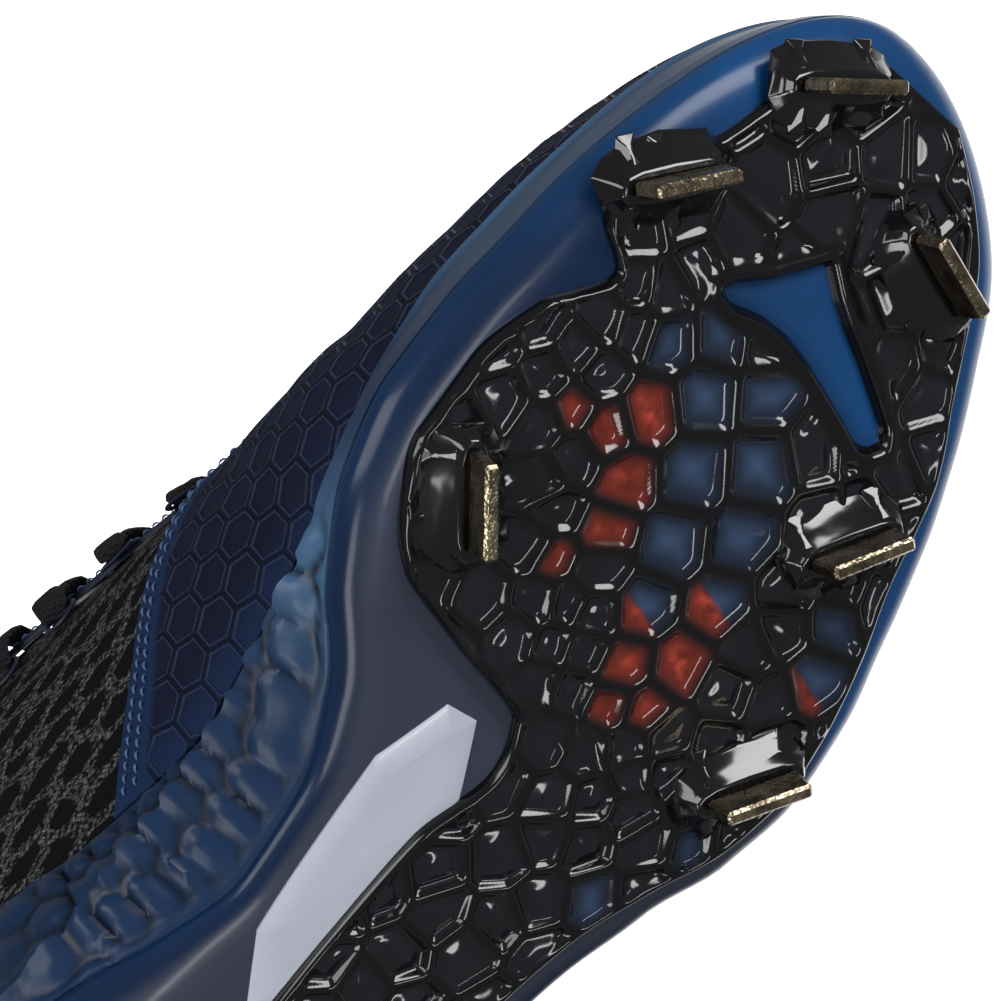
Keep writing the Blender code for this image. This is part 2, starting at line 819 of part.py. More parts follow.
def make_blades(parent):
    """Steel blades, each standing on its pedestal."""
    blades = []
    for number, stud in enumerate(STUDS, 1):
        place, turn = stud_frame(stud)
        depth = plate_thickness + pedestal_height + gap
        root = place - turn @ Vector((0.0, 0.0, depth))
        bm = bmesh.new()
        add_block(bm, root, turn, (blade_length, blade_width),
                  (blade_length * 0.92, blade_width), blade_height)
        bmesh.ops.bevel(bm, geom=bm.edges, offset=blade_edge, segments=1, affect="EDGES")
        blades.append(finish_mesh(bm, f"blade_{number}", parent))
    return blades


def resting_face(pieces):
    """The hull's face on which the shoe lies when it tips to its outer side."""
    bm = bmesh.new()
    for piece in pieces:
        for vertex in piece.data.vertices:
            bm.verts.new(vertex.co)
    bmesh.ops.convex_hull(bm, input=bm.verts)
    bmesh.ops.recalc_face_normals(bm, faces=bm.faces)
    balance = Vector((0.47 * shoe_length, 0.0, 0.33 * upper_height))
    found = None
    for face in bm.faces:
        if face.normal.y <= 0.3:
            continue
        reach = face.normal.dot(face.verts[0].co - balance) / face.normal.y
        hit = balance + Vector((0.0, reach, 0.0))
        inside = True
        for loop in face.loops:
            start = loop.vert.co
            edge = loop.link_loop_next.vert.co - start
            if edge.cross(hit - start).dot(face.normal) < -1e-12:
                inside = False
        if inside and (found is None or reach > found[2]):
            found = (face.normal.copy(), face.verts[0].co.copy(), reach)
    bm.free()
    return found[0], found[1]


def lay_down(root, pieces):
    """Turn and shift the empty so that the resting face lies on the floor."""
    down, contact = resting_face(pieces)
    ahead = Vector((1.0, 0.0, 0.0))
    ahead = (ahead - down * ahead.dot(down)).normalized()
    across = ahead.cross(down)
    turn = Matrix((ahead, across, -down))
    corners = [turn @ vertex.co for piece in pieces for vertex in piece.data.vertices]
    middle_x = (min(c.x for c in corners) + max(c.x for c in corners)) / 2
    middle_y = (min(c.y for c in corners) + max(c.y for c in corners)) / 2
    floor = (turn @ contact).z + flat_depth
    root.matrix_world = Matrix.Translation((-middle_x, -middle_y, -floor)) @ turn.to_4x4()


def make_floor_cutter():
    """Block under the floor, which leaves flat spots where the shoe lies."""
    bm = bmesh.new()
    size = (shoe_length * 2, shoe_length * 2)
    add_block(bm, Vector((0.0, 0.0, 0.0)), Matrix.Identity(3), size, size, ball_width)
    floor = finish_mesh(bm, "outsole_plate", None)
    floor.name = "floor_cutter"
    return floor


def main():
    for old in list(bpy.data.objects):
        bpy.data.objects.remove(old)
    root = bpy.data.objects.new("lying_shoe", None)
    bpy.context.scene.collection.objects.link(root)
    carrier = make_carrier(root)
    sidewall = make_sidewall(root)
    upper = make_upper(root)
    pieces = [
        carrier,
        sidewall,
        upper,
        make_guard(root),
        make_eyestay(root),
        make_tongue(root),
        make_insole(root),
        make_plate(root),
        *make_blades(root),
    ]
    make_lace(root)
    lay_down(root, pieces)
    floor = make_floor_cutter()
    for piece in (carrier, sidewall, upper):
        join_cut(piece, floor, "DIFFERENCE")


main()
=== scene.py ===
"""Looks of a left baseball cleat that lies on its outer side.

The sections of the shoe are formulas in its own standing frame: x from heel to
toe, y to the outer side, z up from the ground line of the plate, in metres. The
nine steel blades of the frame show where that frame lies in the scene.
"""
from collections import namedtuple
from math import pi, radians

import bmesh
import bpy
import numpy as np
from mathutils import Matrix, Vector


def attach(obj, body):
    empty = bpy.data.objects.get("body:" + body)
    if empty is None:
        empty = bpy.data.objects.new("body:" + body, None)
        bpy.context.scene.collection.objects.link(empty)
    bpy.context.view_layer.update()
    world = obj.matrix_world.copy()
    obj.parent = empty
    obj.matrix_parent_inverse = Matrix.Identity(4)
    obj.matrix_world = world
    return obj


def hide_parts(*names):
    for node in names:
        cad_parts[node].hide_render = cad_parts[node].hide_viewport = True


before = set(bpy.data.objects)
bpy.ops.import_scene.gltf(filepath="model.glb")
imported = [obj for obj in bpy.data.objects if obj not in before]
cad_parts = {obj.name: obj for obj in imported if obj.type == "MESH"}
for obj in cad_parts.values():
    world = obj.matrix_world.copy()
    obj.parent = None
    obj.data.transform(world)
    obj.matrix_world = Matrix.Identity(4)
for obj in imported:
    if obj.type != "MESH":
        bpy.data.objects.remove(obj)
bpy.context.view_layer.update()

bl_info = {
    "name": "Baseball cleat looks",
    "version": (1, 0, 0),
    "blender": (4, 5, 0),
    "location": "View3D > Sidebar > Cleat",
    "description": "Dresses the frame of a lying baseball cleat, piece by piece",
    "category": "Object",
}

BODY = "root"

# Plan of the sole and of the last, as shares of the length and of a width that
# goes from the heel's (0) to the ball's (1)
Plan = namedtuple("Plan", "along ball centre medial lateral last_medial last_lateral")
PLAN = [Plan(*row) for row in (
    (0.000, 0.0, 0.000, 0.500, 0.500, 0.430, 0.430),
    (0.067, 0.0, 0.000, 0.480, 0.480, 0.415, 0.415),
    (0.151, 0.0, 0.000, 0.495, 0.500, 0.430, 0.430),
    (0.235, 0.0, 0.000, 0.490, 0.515, 0.428, 0.436),
    (0.285, 0.0, 0.000, 0.455, 0.515, 0.420, 0.436),
    (0.336, 0.0, 0.000, 0.400, 0.515, 0.408, 0.440),
    (0.386, 0.2, 0.000, 0.285, 0.468, 0.362, 0.398),
    (0.436, 0.3, 0.000, 0.220, 0.462, 0.345, 0.393),
    (0.487, 0.5, 0.000, 0.218, 0.455, 0.330, 0.390),
    (0.537, 0.8, 0.000, 0.258, 0.455, 0.326, 0.398),
    (0.587, 1.0, 0.000, 0.357, 0.490, 0.338, 0.434),
    (0.638, 1.0, 0.000, 0.437, 0.523, 0.390, 0.472),
    (0.688, 1.0, 0.000, 0.467, 0.514, 0.418, 0.463),
    (0.738, 1.0, 0.000, 0.462, 0.483, 0.413, 0.435),
    (0.789, 1.0, -0.009, 0.430, 0.460, 0.382, 0.412),
    (0.839, 1.0, -0.018, 0.402, 0.437, 0.354, 0.390),
    (0.889, 1.0, -0.028, 0.373, 0.428, 0.326, 0.380),
    (0.940, 1.0, -0.037, 0.352, 0.444, 0.304, 0.392),
    (1.000, 1.0, -0.046, 0.325, 0.425, 0.278, 0.374),
)]

# Heights along the sole and of the rand, as shares of the named heights
Rise = namedtuple("Rise", "along parting seat rand_medial rand_lateral")
RISE = [Rise(*row) for row in (
    (0.000, 1.00, 1.00, 0.95, 0.95),
    (0.168, 1.00, 1.00, 1.00, 0.98),
    (0.285, 0.96, 0.97, 1.04, 0.93),
    (0.342, 0.82, 0.94, 0.94, 0.84),
    (0.379, 0.62, 0.92, 0.79, 0.74),
    (0.443, 0.49, 0.87, 0.60, 0.62),
    (0.490, 0.46, 0.83, 0.46, 0.56),
    (0.520, 0.46, 0.78, 0.38, 0.53),
    (0.570, 0.48, 0.69, 0.34, 0.50),
    (0.638, 0.52, 0.60, 0.35, 0.47),
    (0.711, 0.53, 0.57, 0.46, 0.46),
    (0.775, 0.52, 0.57, 0.58, 0.47),
    (0.839, 0.50, 0.57, 0.61, 0.51),
    (0.889, 0.49, 0.57, 0.70, 0.58),
    (0.940, 0.48, 0.57, 0.77, 0.68),
    (1.000, 0.48, 0.57, 0.78, 0.78),
)]

# Upper end of each rib of the upper: collar, throat and closed ridge
Top = namedtuple("Top", "along lean ridge half height turn bulge")
TOP = [Top(*row) for row in (
    (0.000, 0.014, 0.000, 0.235, 1.000, 42, 1.7),
    (0.050, 0.014, 0.000, 0.235, 0.970, 42, 1.7),
    (0.117, 0.010, 0.000, 0.244, 0.925, 42, 1.5),
    (0.185, 0.007, 0.000, 0.246, 0.900, 42, 1.2),
    (0.252, 0.007, 0.000, 0.235, 0.945, 46, 1.0),
    (0.319, 0.012, 0.000, 0.200, 1.090, 55, 0.9),
    (0.362, 0.016, 0.000, 0.170, 1.220, 64, 0.9),
    (0.420, 0.010, -0.012, 0.150, 1.155, 72, 0.9),
    (0.503, 0.003, -0.026, 0.138, 1.020, 79, 0.9),
    (0.587, 0.000, -0.034, 0.118, 0.860, 84, 0.7),
    (0.655, 0.000, -0.032, 0.083, 0.712, 88, 0.5),
    (0.688, 0.000, -0.028, 0.042, 0.667, 90, 0.4),
    (0.706, 0.000, -0.026, 0.000, 0.650, 90, 0.4),
    (0.760, 0.000, -0.024, 0.000, 0.622, 90, 0.4),
    (0.822, 0.000, -0.027, 0.000, 0.590, 90, 0.4),
    (0.879, 0.000, -0.031, 0.000, 0.557, 90, 0.3),
    (0.933, 0.000, -0.036, 0.000, 0.520, 90, 0.2),
    (0.967, 0.000, -0.040, 0.000, 0.470, 90, 0.1),
    (1.000, 0.000, -0.046, 0.000, 0.350, 90, 0.0),
)]
STATIONS = 36
RING = 2 * STATIONS
CROWDING = 0.85
FORM_POWER = 0.87
HEEL_ROUND = 0.040
TOE_ROUND = 0.062
COLLAR_ROUND = 0.030
CORNER_ALONG = 0.362
THROAT_FRONT = 0.706

# Edges of the plate, as shares of the length and of the ball's width
Edge = namedtuple("Edge", "along left right")
PLATE = [Edge(*row) for row in (
    (0.022, -0.083, 0.083),
    (0.040, -0.150, 0.150),
    (0.074, -0.222, 0.222),
    (0.134, -0.265, 0.272),
    (0.201, -0.270, 0.282),
    (0.268, -0.240, 0.282),
    (0.319, -0.120, 0.280),
    (0.369, -0.030, 0.280),
    (0.436, -0.018, 0.290),
    (0.503, -0.010, 0.322),
    (0.554, 0.028, 0.380),
    (0.584, 0.000, 0.428),
    (0.597, -0.150, 0.444),
    (0.611, -0.285, 0.456),
    (0.638, -0.361, 0.470),
    (0.674, -0.407, 0.462),
    (0.718, -0.407, 0.437),
    (0.762, -0.370, 0.400),
    (0.799, -0.296, 0.382),
    (0.815, -0.355, 0.374),
    (0.836, -0.385, 0.352),
    (0.859, -0.333, 0.318),
    (0.893, -0.268, 0.275),
    (0.926, -0.225, 0.232),
    (0.953, -0.170, 0.165),
    (0.978, -0.095, 0.075),
)]

# Steel blades: place as shares of the length and ball width, and heading
Stud = namedtuple("Stud", "along across heading")
STUDS = [Stud(*row) for row in (
    (0.946, -0.165, 56),
    (0.851, -0.320, 45),
    (0.904, 0.145, 107),
    (0.661, -0.296, 140),
    (0.762, 0.275, 38),
    (0.628, 0.380, 39),
    (0.250, -0.165, 135),
    (0.250, 0.195, 45),
    (0.075, 0.000, 90),
)]
PEDESTAL_HEIGHT = 0.0035
BLADE_HEIGHT = 0.0065
GAP = 0.0003
SKIN_GAP = 0.0006
STAY_GAP = 0.0020
SEAT_GAP = 0.0004
GUARD_MEDIAL = (0.410, 0.635)
GUARD_LATERAL = (0.688, 0.690)
STAY_WIDTH = 0.015
STAY_REACH = 0.013
LACE_FRONT = 0.672
LACE_BACK = 0.410
EYELET_PAIRS = 6
EYELET_RADIUS = 0.0034
EYELET_TUBE = 0.0006
STAY_STITCH = 0.0018
GUARD_STITCH = 0.0019
STITCH_PAUSE = 0.0007
STITCH_RADIUS = 0.0003
THREAD_LIFT = 0.0001
SOLE_TURN = 0.010
RAND_LIP = 0.0014
RAND_PITCH = 0.0112
RAND_PILLOW = 0.0017
RAND_BEAD = 0.0007
COLLAR_PAD = 0.0022
GUARD_THICKNESS = 0.0008
GUARD_PITCH = 0.0082
GUARD_TURN = 36.0
GUARD_CLEAR = 0.0009
GUARD_GROOVE = 0.00025
GUARD_BAND = 0.0085
GUARD_SEAMS = (0.0020, 0.0046)
STAY_THICKNESS = 0.0012
LACE_WIDTH = 0.006
LACE_HEIGHT = 0.0022
LACE_INSET = 0.007
LACE_GAP = 0.0017
TONGUE_HALF = 0.021
TONGUE_THICKNESS = 0.004
TONGUE_CROWN = 0.003
TONGUE_TOP = 0.019
TONGUE_TAPER = 0.06
TONGUE_GAP = 0.0009
INSOLE_THICKNESS = 0.004
SIDE_GAP = 0.0006
ROOT_3 = 3 ** 0.5

# Where features come in or go out, as shares of the length
BEAD_START = (0.62, 0.75)
CROWD_START = (0.36, 0.42)
CROWD_END = (0.56, 0.50)
PILLOW_START = (0.28, 0.36)
PILLOW_END = (0.635, 0.58)
# Where the rand's painted highlight lies: a patch on the inner side, then a band that grows
# towards the toe
HIGHLIGHT_PLACE = 0.60
HIGHLIGHT_TOE = (0.66, 0.80)
COLLAR_PAD_END = (0.36, 0.28)
DENSE_KNIT_START = 0.36
GUARD_MEET = 0.78
GUARD_BLUE_END = (0.75, 0.5)
PLATE_FINE_FROM = 0.36

# Where the carrier's colours change, in metres from heel and middle. The navy of the inner
# forefoot is partly the carrier's colour and partly painted shade
NAVY_ACROSS = (-0.026, 0.024)
NAVY_END = (0.225, 0.285)
WAIST_END = (0.180, 0.210)

# Carrier's side: insets as shares of its turn and heights as shares of the way from
# the ground to the parting line, then the insets of two more rings in metres
CARRIER_PROFILE = [(1.0, 0.0), (0.8, 0.012), (0.62, 0.045), (0.45, 0.10), (0.3, 0.20),
                   (0.17, 0.34), (0.07, 0.52), (0.015, 0.72), (0.0, 0.9), (0.02, 1.0)]
CARRIER_RIM = (0.0055, 0.0009)

# Insole's side: inset in metres, height as a share of its thickness
INSOLE_PROFILE = [(0.0006, 0.0), (0.0, 0.1), (0.0, 0.6), (0.0003, 0.92), (0.0012, 1.0),
                  (0.0040, 0.94), (0.0080, 0.86)]

# Cells of the plate, charted in the picture's pixels. tone: 0 smoky, 1 blue,
# 2 red, 3 blue above and red below
Cell = namedtuple("Cell", "px py tone")
CELLS = [
    Cell(705, 397, 1), Cell(771, 393, 1), Cell(693, 473, 1), Cell(762, 469, 1),
    Cell(672, 544, 1), Cell(742, 541, 1), Cell(642, 608, 3), Cell(720, 606, 3),
    Cell(648, 412, 2), Cell(623, 482, 2), Cell(604, 532, 2), Cell(606, 430, 2),
    Cell(572, 408, 2), Cell(724, 333, 1), Cell(667, 340, 1), Cell(774, 341, 0),
    Cell(821, 446, 0), Cell(824, 528, 0), Cell(868, 508, 0), Cell(786, 592, 0),
    Cell(597, 572, 0), Cell(569, 604, 0), Cell(592, 614, 0), Cell(552, 556, 2),
    Cell(877, 602, 0), Cell(680, 666, 2), Cell(622, 668, 2), Cell(536, 603, 0),
    Cell(480, 603, 0), Cell(513, 638, 0), Cell(554, 646, 0), Cell(582, 652, 0),
    Cell(609, 706, 2), Cell(644, 712, 2), Cell(543, 683, 0), Cell(569, 690, 0),
    Cell(548, 739, 0), Cell(586, 752, 0), Cell(627, 749, 0), Cell(665, 739, 0),
    Cell(668, 772, 0), Cell(632, 776, 0), Cell(715, 748, 0), Cell(775, 745, 0),
    Cell(552, 799, 0), Cell(592, 800, 0), Cell(632, 815, 0), Cell(692, 799, 0),
    Cell(692, 848, 1), Cell(645, 845, 0), Cell(586, 845, 0), Cell(503, 858, 0),
    Cell(545, 838, 0), Cell(433, 872, 0), Cell(592, 898, 1), Cell(645, 890, 0),
    Cell(543, 955, 0), Cell(440, 915, 0), Cell(496, 921, 0), Cell(539, 901, 0),
    Cell(466, 951, 0), Cell(400, 954, 0), Cell(751, 649, 0), Cell(779, 632, 0),
    Cell(836, 620, 1), Cell(808, 683, 3), Cell(846, 560, 0), Cell(573, 460, 0),
    Cell(545, 480, 0), Cell(556, 512, 0), Cell(535, 545, 0), Cell(600, 372, 0),
    Cell(636, 330, 0), Cell(665, 290, 0), Cell(700, 262, 0), Cell(735, 235, 0),
    Cell(640, 285, 0), Cell(606, 322, 0), Cell(580, 352, 0), Cell(545, 375, 0),
    Cell(540, 425, 0), Cell(505, 400, 0), Cell(460, 430, 0), Cell(440, 540, 0),
    Cell(430, 585, 0), Cell(450, 640, 0), Cell(770, 700, 0), Cell(730, 690, 0),
    Cell(760, 800, 0), Cell(860, 440, 0), Cell(895, 480, 0), Cell(900, 545, 0),
    Cell(845, 590, 0), Cell(690, 215, 0), Cell(770, 180, 0), Cell(830, 160, 0),
    Cell(890, 150, 0), Cell(930, 220, 0), Cell(880, 230, 0), Cell(835, 215, 0),
    Cell(900, 300, 0), Cell(890, 370, 0), Cell(930, 400, 0), Cell(640, 232, 0),
    Cell(800, 110, 0), Cell(870, 105, 0), Cell(950, 260, 0), Cell(850, 330, 0),
]
FILL_CELL_PITCH = 0.0088
FILL_CELL_CLEAR = 0.0078
RIB_COLOURED = 0.00125
RIB_SMOKY = 0.00085
PLATE_BACK = 0.0007

# The opening through which the carrier shows, in the picture's pixels
Spot = namedtuple("Spot", "px py")
WINDOW = [
    Spot(722, 290), Spot(738, 282), Spot(775, 279), Spot(815, 268), Spot(832, 262),
    Spot(840, 300), Spot(850, 330), Spot(862, 360), Spot(876, 400), Spot(886, 432),
    Spot(884, 448), Spot(870, 453), Spot(858, 448), Spot(846, 425), Spot(830, 398),
    Spot(810, 365), Spot(790, 340), Spot(765, 320), Spot(735, 308),
]
WINDOW_LAP = 0.0012
PAD_MARGIN = 0.002

# Plain hexagon in the arch: its axis in the picture's pixels, then its corners as
# shares of the axis and reaches to its sides in metres
INLAY_AXIS = [Spot(462, 712), Spot(262, 1012)]
INLAY_OUTLINE = [(0.0, 0.0030), (0.22, 0.0085), (0.80, 0.0085), (1.0, 0.0030),
                 (1.0, -0.0030), (0.80, -0.0085), (0.22, -0.0085), (0.0, -0.0030)]

# Soft lights of the studio, in the scene's metres and watts
Box = namedtuple("Box", "name place width height power")
LIGHTS = [
    Box("overhead_box", (-0.25, -0.10, 0.90), 0.60, 0.40, 4.2),
    Box("toe_box", (0.70, -0.42, 0.36), 0.30, 0.45, 5.0),
    Box("heel_box", (-0.60, -0.50, 0.45), 0.20, 0.45, 2.4),
    Box("front_box", (0.10, -0.95, 0.22), 0.50, 0.10, 2.0),
]
LAMP_AIM = (0.03, 0.0, 0.05)
FLOOR_HALF = 3.0
WORLD_GLOW = 0.20
RIM_GLOW = 1.80
GLOW_AXIS = (0.35, 0.75, 0.55)

# Rings of a pedestal, with their drop past the plate's middle or past the
# pedestal's end
Level = namedtuple("Level", "length width drop from_end")
PEDESTAL = [Level(*row) for row in (
    (0.0250, 0.0150, 0.0, False),
    (0.0236, 0.0128, 0.0010, False),
    (0.0222, 0.0094, 0.0024, False),
    (0.0206, 0.0066, -0.0008, True),
    (0.0194, 0.0050, 0.0, True),
)]
PEDESTAL_SIDES = 14
FIN_PLACES = (-0.0066, 0.0, 0.0064)
BEVEL_WIDTH = 0.0003

# The photograph's camera: size of its frame, then its fitted place
PHOTO_WIDTH = 1000
PHOTO_HEIGHT = 1001
AIM_POINT = (0.190, 0.0, 0.0)
AIM_PIXEL = (573.6, 635.2)
VIEW_TILT = 32.4
VIEW_ROLL = 53.1
VIEW_DISTANCE = 0.600
PIXELS_PER_METRE = 6410.0
SENSOR_WIDTH = 36.0


def colour_property(name, colour):
    return bpy.props.FloatVectorProperty(
        name=name, description=f"Colour of the {name.lower()}", subtype="COLOR",
        size=3, min=0.0, max=1.0, default=colour)


def length_property(name, value):
    return bpy.props.FloatProperty(
        name=name, description=f"{name} of the shoe", unit="LENGTH", precision=4,
        min=0.0, default=value)


class CleatSizes(bpy.types.PropertyGroup):
    """Sizes that the sections of the shoe follow."""
    shoe_length: length_property("Length", 0.298)
    ball_width: length_property("Ball width", 0.108)
    heel_width: length_property("Heel width", 0.070)
    upper_height: length_property("Upper height", 0.100)
    wall_height: length_property("Rand height", 0.040)
    toe_spring: length_property("Toe spring", 0.014)
    shank_lift: length_property("Shank lift", 0.003)
    upper_wall: length_property("Wall of the upper", 0.0022)
    sole_height: length_property("Seat height", 0.0175)
    band_height: length_property("Parting line height", 0.012)
    rand_foot: length_property("Foot of the rand", 0.0053)
    plate_thickness: length_property("Plate thickness", 0.0020)


class CleatColours(bpy.types.PropertyGroup):
    """Colours of the finishes."""
    carrier_blue: colour_property("Carrier", (0.007, 0.050, 0.155))
    # Navy of the waist; on the inner forefoot it is partly painted shade
    carrier_navy: colour_property("Carrier in the waist", (0.005, 0.009, 0.024))
    carrier_grey: colour_property("Carrier in the arch", (0.034, 0.038, 0.055))
    rand_blue: colour_property("Rand", (0.008, 0.030, 0.085))
    # Colour of the painted highlight on the rand
    rand_highlight: colour_property("Rand's painted highlight", (0.070, 0.150, 0.270))
    plate_black: colour_property("Plate ribs", (0.003, 0.003, 0.004))
    cell_smoke: colour_property("Smoky cells", (0.012, 0.013, 0.018))
    cell_blue: colour_property("Blue cells", (0.034, 0.062, 0.125))
    cell_red: colour_property("Red cells", (0.560, 0.075, 0.045))
    guard_navy: colour_property("Guard", (0.004, 0.007, 0.026))
    guard_blue: colour_property("Guard's rear band", (0.008, 0.024, 0.075))
    # Painted highlight on the guard's raised lines
    guard_ridge_highlight: colour_property("Painted highlight on the guard's raised lines", (0.035, 0.052, 0.120))
    thread_blue: colour_property("Stitches", (0.060, 0.150, 0.360))
    knit_black: colour_property("Knit's dark yarn", (0.006, 0.006, 0.008))
    knit_grey: colour_property("Knit's light yarn", (0.120, 0.125, 0.135))
    knit_cream: colour_property("Knit's palest yarn", (0.420, 0.410, 0.370))
    cloth_black: colour_property("Lining and lace", (0.008, 0.008, 0.010))
    steel: colour_property("Steel", (0.420, 0.345, 0.235))
    inlay_grey: colour_property("Arch inlay", (0.400, 0.430, 0.500))


def smooth(rows, name, along):
    """A table's column at places along the shoe, on a curve with no overshoot."""
    spots = np.array([row.along for row in rows])
    values = np.array([getattr(row, name) for row in rows], float)
    rise = np.diff(values) / np.diff(spots)
    slope = np.empty_like(values)
    slope[0] = rise[0]
    slope[-1] = rise[-1]
    product = rise[:-1] * rise[1:]
    total = rise[:-1] + rise[1:]
    slope[1:-1] = np.where(product > 0, 2 * product / np.where(product > 0, total, 1), 0)
    along = np.clip(along, spots[0], spots[-1])
    i = np.clip(np.searchsorted(spots, along, side="right") - 1, 0, len(rows) - 2)
    span = spots[i + 1] - spots[i]
    t = (along - spots[i]) / span
    start = values[i] * (1 + 2 * t) * (1 - t) ** 2 + slope[i] * span * t * (1 - t) ** 2
    end = values[i + 1] * (3 - 2 * t) * t ** 2 - slope[i + 1] * span * (1 - t) * t ** 2
    return start + end


def between(low, high, share):
    return low + (high - low) * share


def station(s):
    """Share of the length at a place s on the ring round the shoe."""
    k = np.mod(s, RING)
    k = np.minimum(k, RING - k) / STATIONS
    return CROWDING * (1 - np.cos(pi * k)) / 2 + (1 - CROWDING) * k


def side(s):
    """-1 on the inner half of the ring and 1 on the outer one."""
    return np.where(np.mod(s, RING) <= STATIONS, -1.0, 1.0)


def ring_place(along, which):
    """Place on the ring for a share of the length, on one side."""
    k = np.linspace(0, STATIONS, 2001)
    found = np.interp(along, station(k), k)
    return found if which < 0 else RING - found


def by_side(rows, prefix, s):
    """A table's medial column on the inner side and its lateral one outside."""
    along = station(s)
    return np.where(side(s) < 0, smooth(rows, prefix + "medial", along),
                    smooth(rows, prefix + "lateral", along))


def unit(v):
    return v / np.maximum(np.linalg.norm(v, axis=-1, keepdims=True), 1e-12)


class ShoeForm:
    """Sections of last and sole, worked out from the sizes."""

    def __init__(self, sizes):
        self.size = sizes
        self.turn, self.shift = self.find_frame()

    def find_frame(self):
        """Turn and shift that carry the standing shoe onto the frame's blades."""
        mine = np.array([self.stud_point(stud) for stud in STUDS])
        theirs = []
        for number in range(1, len(STUDS) + 1):
            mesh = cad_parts[f"blade_{number}"].data
            corners = np.array([vertex.co for vertex in mesh.vertices])
            theirs.append((corners.min(axis=0) + corners.max(axis=0)) / 2)
        theirs = np.array(theirs)
        u, _, vt = np.linalg.svd((mine - mine.mean(0)).T @ (theirs - theirs.mean(0)))
        flip = np.diag([1, 1, np.sign(np.linalg.det(vt.T @ u.T))])
        turn = vt.T @ flip @ u.T
        return turn, theirs.mean(0) - turn @ mine.mean(0)

    def world(self, points):
        return np.asarray(points) @ self.turn.T + self.shift

    def stud_frame(self, stud):
        """Place on the plate's top face, and turn, of one stud."""
        step = 0.01
        rise = self.ground(stud.along + step) - self.ground(stud.along - step)
        slope = np.arctan2(float(rise), 2 * step * self.size.shoe_length)
        tilt = Matrix.Rotation(-slope, 3, "Y")
        turn = np.array(tilt @ Matrix.Rotation(radians(stud.heading), 3, "Z"))
        place = np.array([stud.along * self.size.shoe_length,
                          stud.across * self.size.ball_width,
                          float(self.ground(stud.along)) - GAP])
        return place, turn

    def stud_point(self, stud):
        place, turn = self.stud_frame(stud)
        depth = self.size.plate_thickness + PEDESTAL_HEIGHT + GAP + BLADE_HEIGHT / 2
        return place - turn @ np.array([0.0, 0.0, depth])

    def width(self, along):
        z = self.size
        return between(z.heel_width, z.ball_width, smooth(PLAN, "ball", along))

    def round_end(self, x, length, heel, toe):
        near = np.clip(x / heel, 0, 1)
        far = np.clip((length - x) / toe, 0, 1)
        return np.sqrt(np.maximum(1 - (1 - near) ** 2, 0)) * np.sqrt(
            np.maximum(1 - (1 - far) ** 2, 0))

    def plan(self, s, last):
        along = station(s)
        prefix = "last_" if last else ""
        margin = self.size.rand_foot if last else 0.0
        length = self.size.shoe_length - 2 * margin
        x = along * length
        width = self.width(along)
        half = by_side(PLAN, prefix, s) * width
        half = half * self.round_end(x, length, HEEL_ROUND - margin, TOE_ROUND - margin)
        y = smooth(PLAN, "centre", along) * width + side(s) * half
        return np.stack([margin + x, y, np.zeros_like(y)], axis=-1)

    def outward(self, s, last):
        run = self.plan(s + 0.25, last) - self.plan(s - 0.25, last)
        flat = np.stack([run[..., 1], -run[..., 0], np.zeros_like(run[..., 0])], axis=-1)
        return unit(flat)

    def spring(self, along):
        return self.size.toe_spring * np.maximum(0, (along - 0.654) / 0.346) ** 2

    def ground(self, along):
        waist = np.clip((along - 0.26) / 0.32, 0, 1)
        return self.spring(along) + self.size.shank_lift * np.sin(pi * waist) ** 2

    def parting(self, along):
        return self.spring(along) + self.size.band_height * smooth(RISE, "parting", along)

    def seat(self, along):
        return self.spring(along) + self.size.sole_height * smooth(RISE, "seat", along)

    def edge_point(self, s, last, inset, level):
        inset = np.asarray(inset)[..., None]
        point = self.plan(s, last) - self.outward(s, last) * inset
        point[..., 2] = level(point[..., 0] / self.size.shoe_length)
        return point

    def top_half(self, s):
        along = station(s)
        rounding = np.clip(along * self.size.shoe_length / COLLAR_ROUND, 0, 1)
        half = smooth(TOP, "half", along) * self.size.ball_width
        half = half * np.sqrt(1 - (1 - rounding) ** 2)
        return np.where(along >= THROAT_FRONT, 0.0, half)

    def top_edge(self, s):
        along = station(s)
        x = (self.plan(s, True)[..., 0] + self.plan(RING - s, True)[..., 0]) / 2
        return np.stack([
            x + smooth(TOP, "lean", along) * self.size.shoe_length,
            smooth(TOP, "ridge", along) * self.size.ball_width
            + side(s) * self.top_half(s),
            smooth(TOP, "height", along) * self.size.upper_height,
        ], axis=-1)

    def bare_skin(self, s, v):
        """Outer face of the upper: s round the shoe, v from seat to top."""
        s, v = np.broadcast_arrays(np.asarray(s, float), np.asarray(v, float))
        along = station(s)
        foot = self.edge_point(s, True, 0.0, self.seat)
        foot[..., 2] += GAP
        head = self.top_edge(s)
        full = np.radians(smooth(TOP, "turn", along))
        bend = full * v
        near = np.maximum(np.cos(full), 0) ** FORM_POWER
        lean = (1 - np.abs(np.cos(bend)) ** FORM_POWER) / (1 - near)
        climb = np.abs(np.sin(bend)) ** FORM_POWER / np.sin(full) ** FORM_POWER
        bulge = smooth(TOP, "bulge", along) * self.size.upper_wall * np.sin(pi * v)
        point = foot + self.outward(s, True) * bulge[..., None]
        point[..., 0] += (head[..., 0] - foot[..., 0]) * lean
        point[..., 1] += (head[..., 1] - foot[..., 1]) * lean
        point[..., 2] = foot[..., 2] + (head[..., 2] - foot[..., 2]) * climb
        return point

    def normal(self, s, v):
        w = np.clip(v, 0.04, 0.97)
        climb = self.bare_skin(s, w + 0.02) - self.bare_skin(s, w - 0.02)
        run = self.bare_skin(s + 0.1, w) - self.bare_skin(s - 0.1, w)
        return unit(np.cross(run, climb))

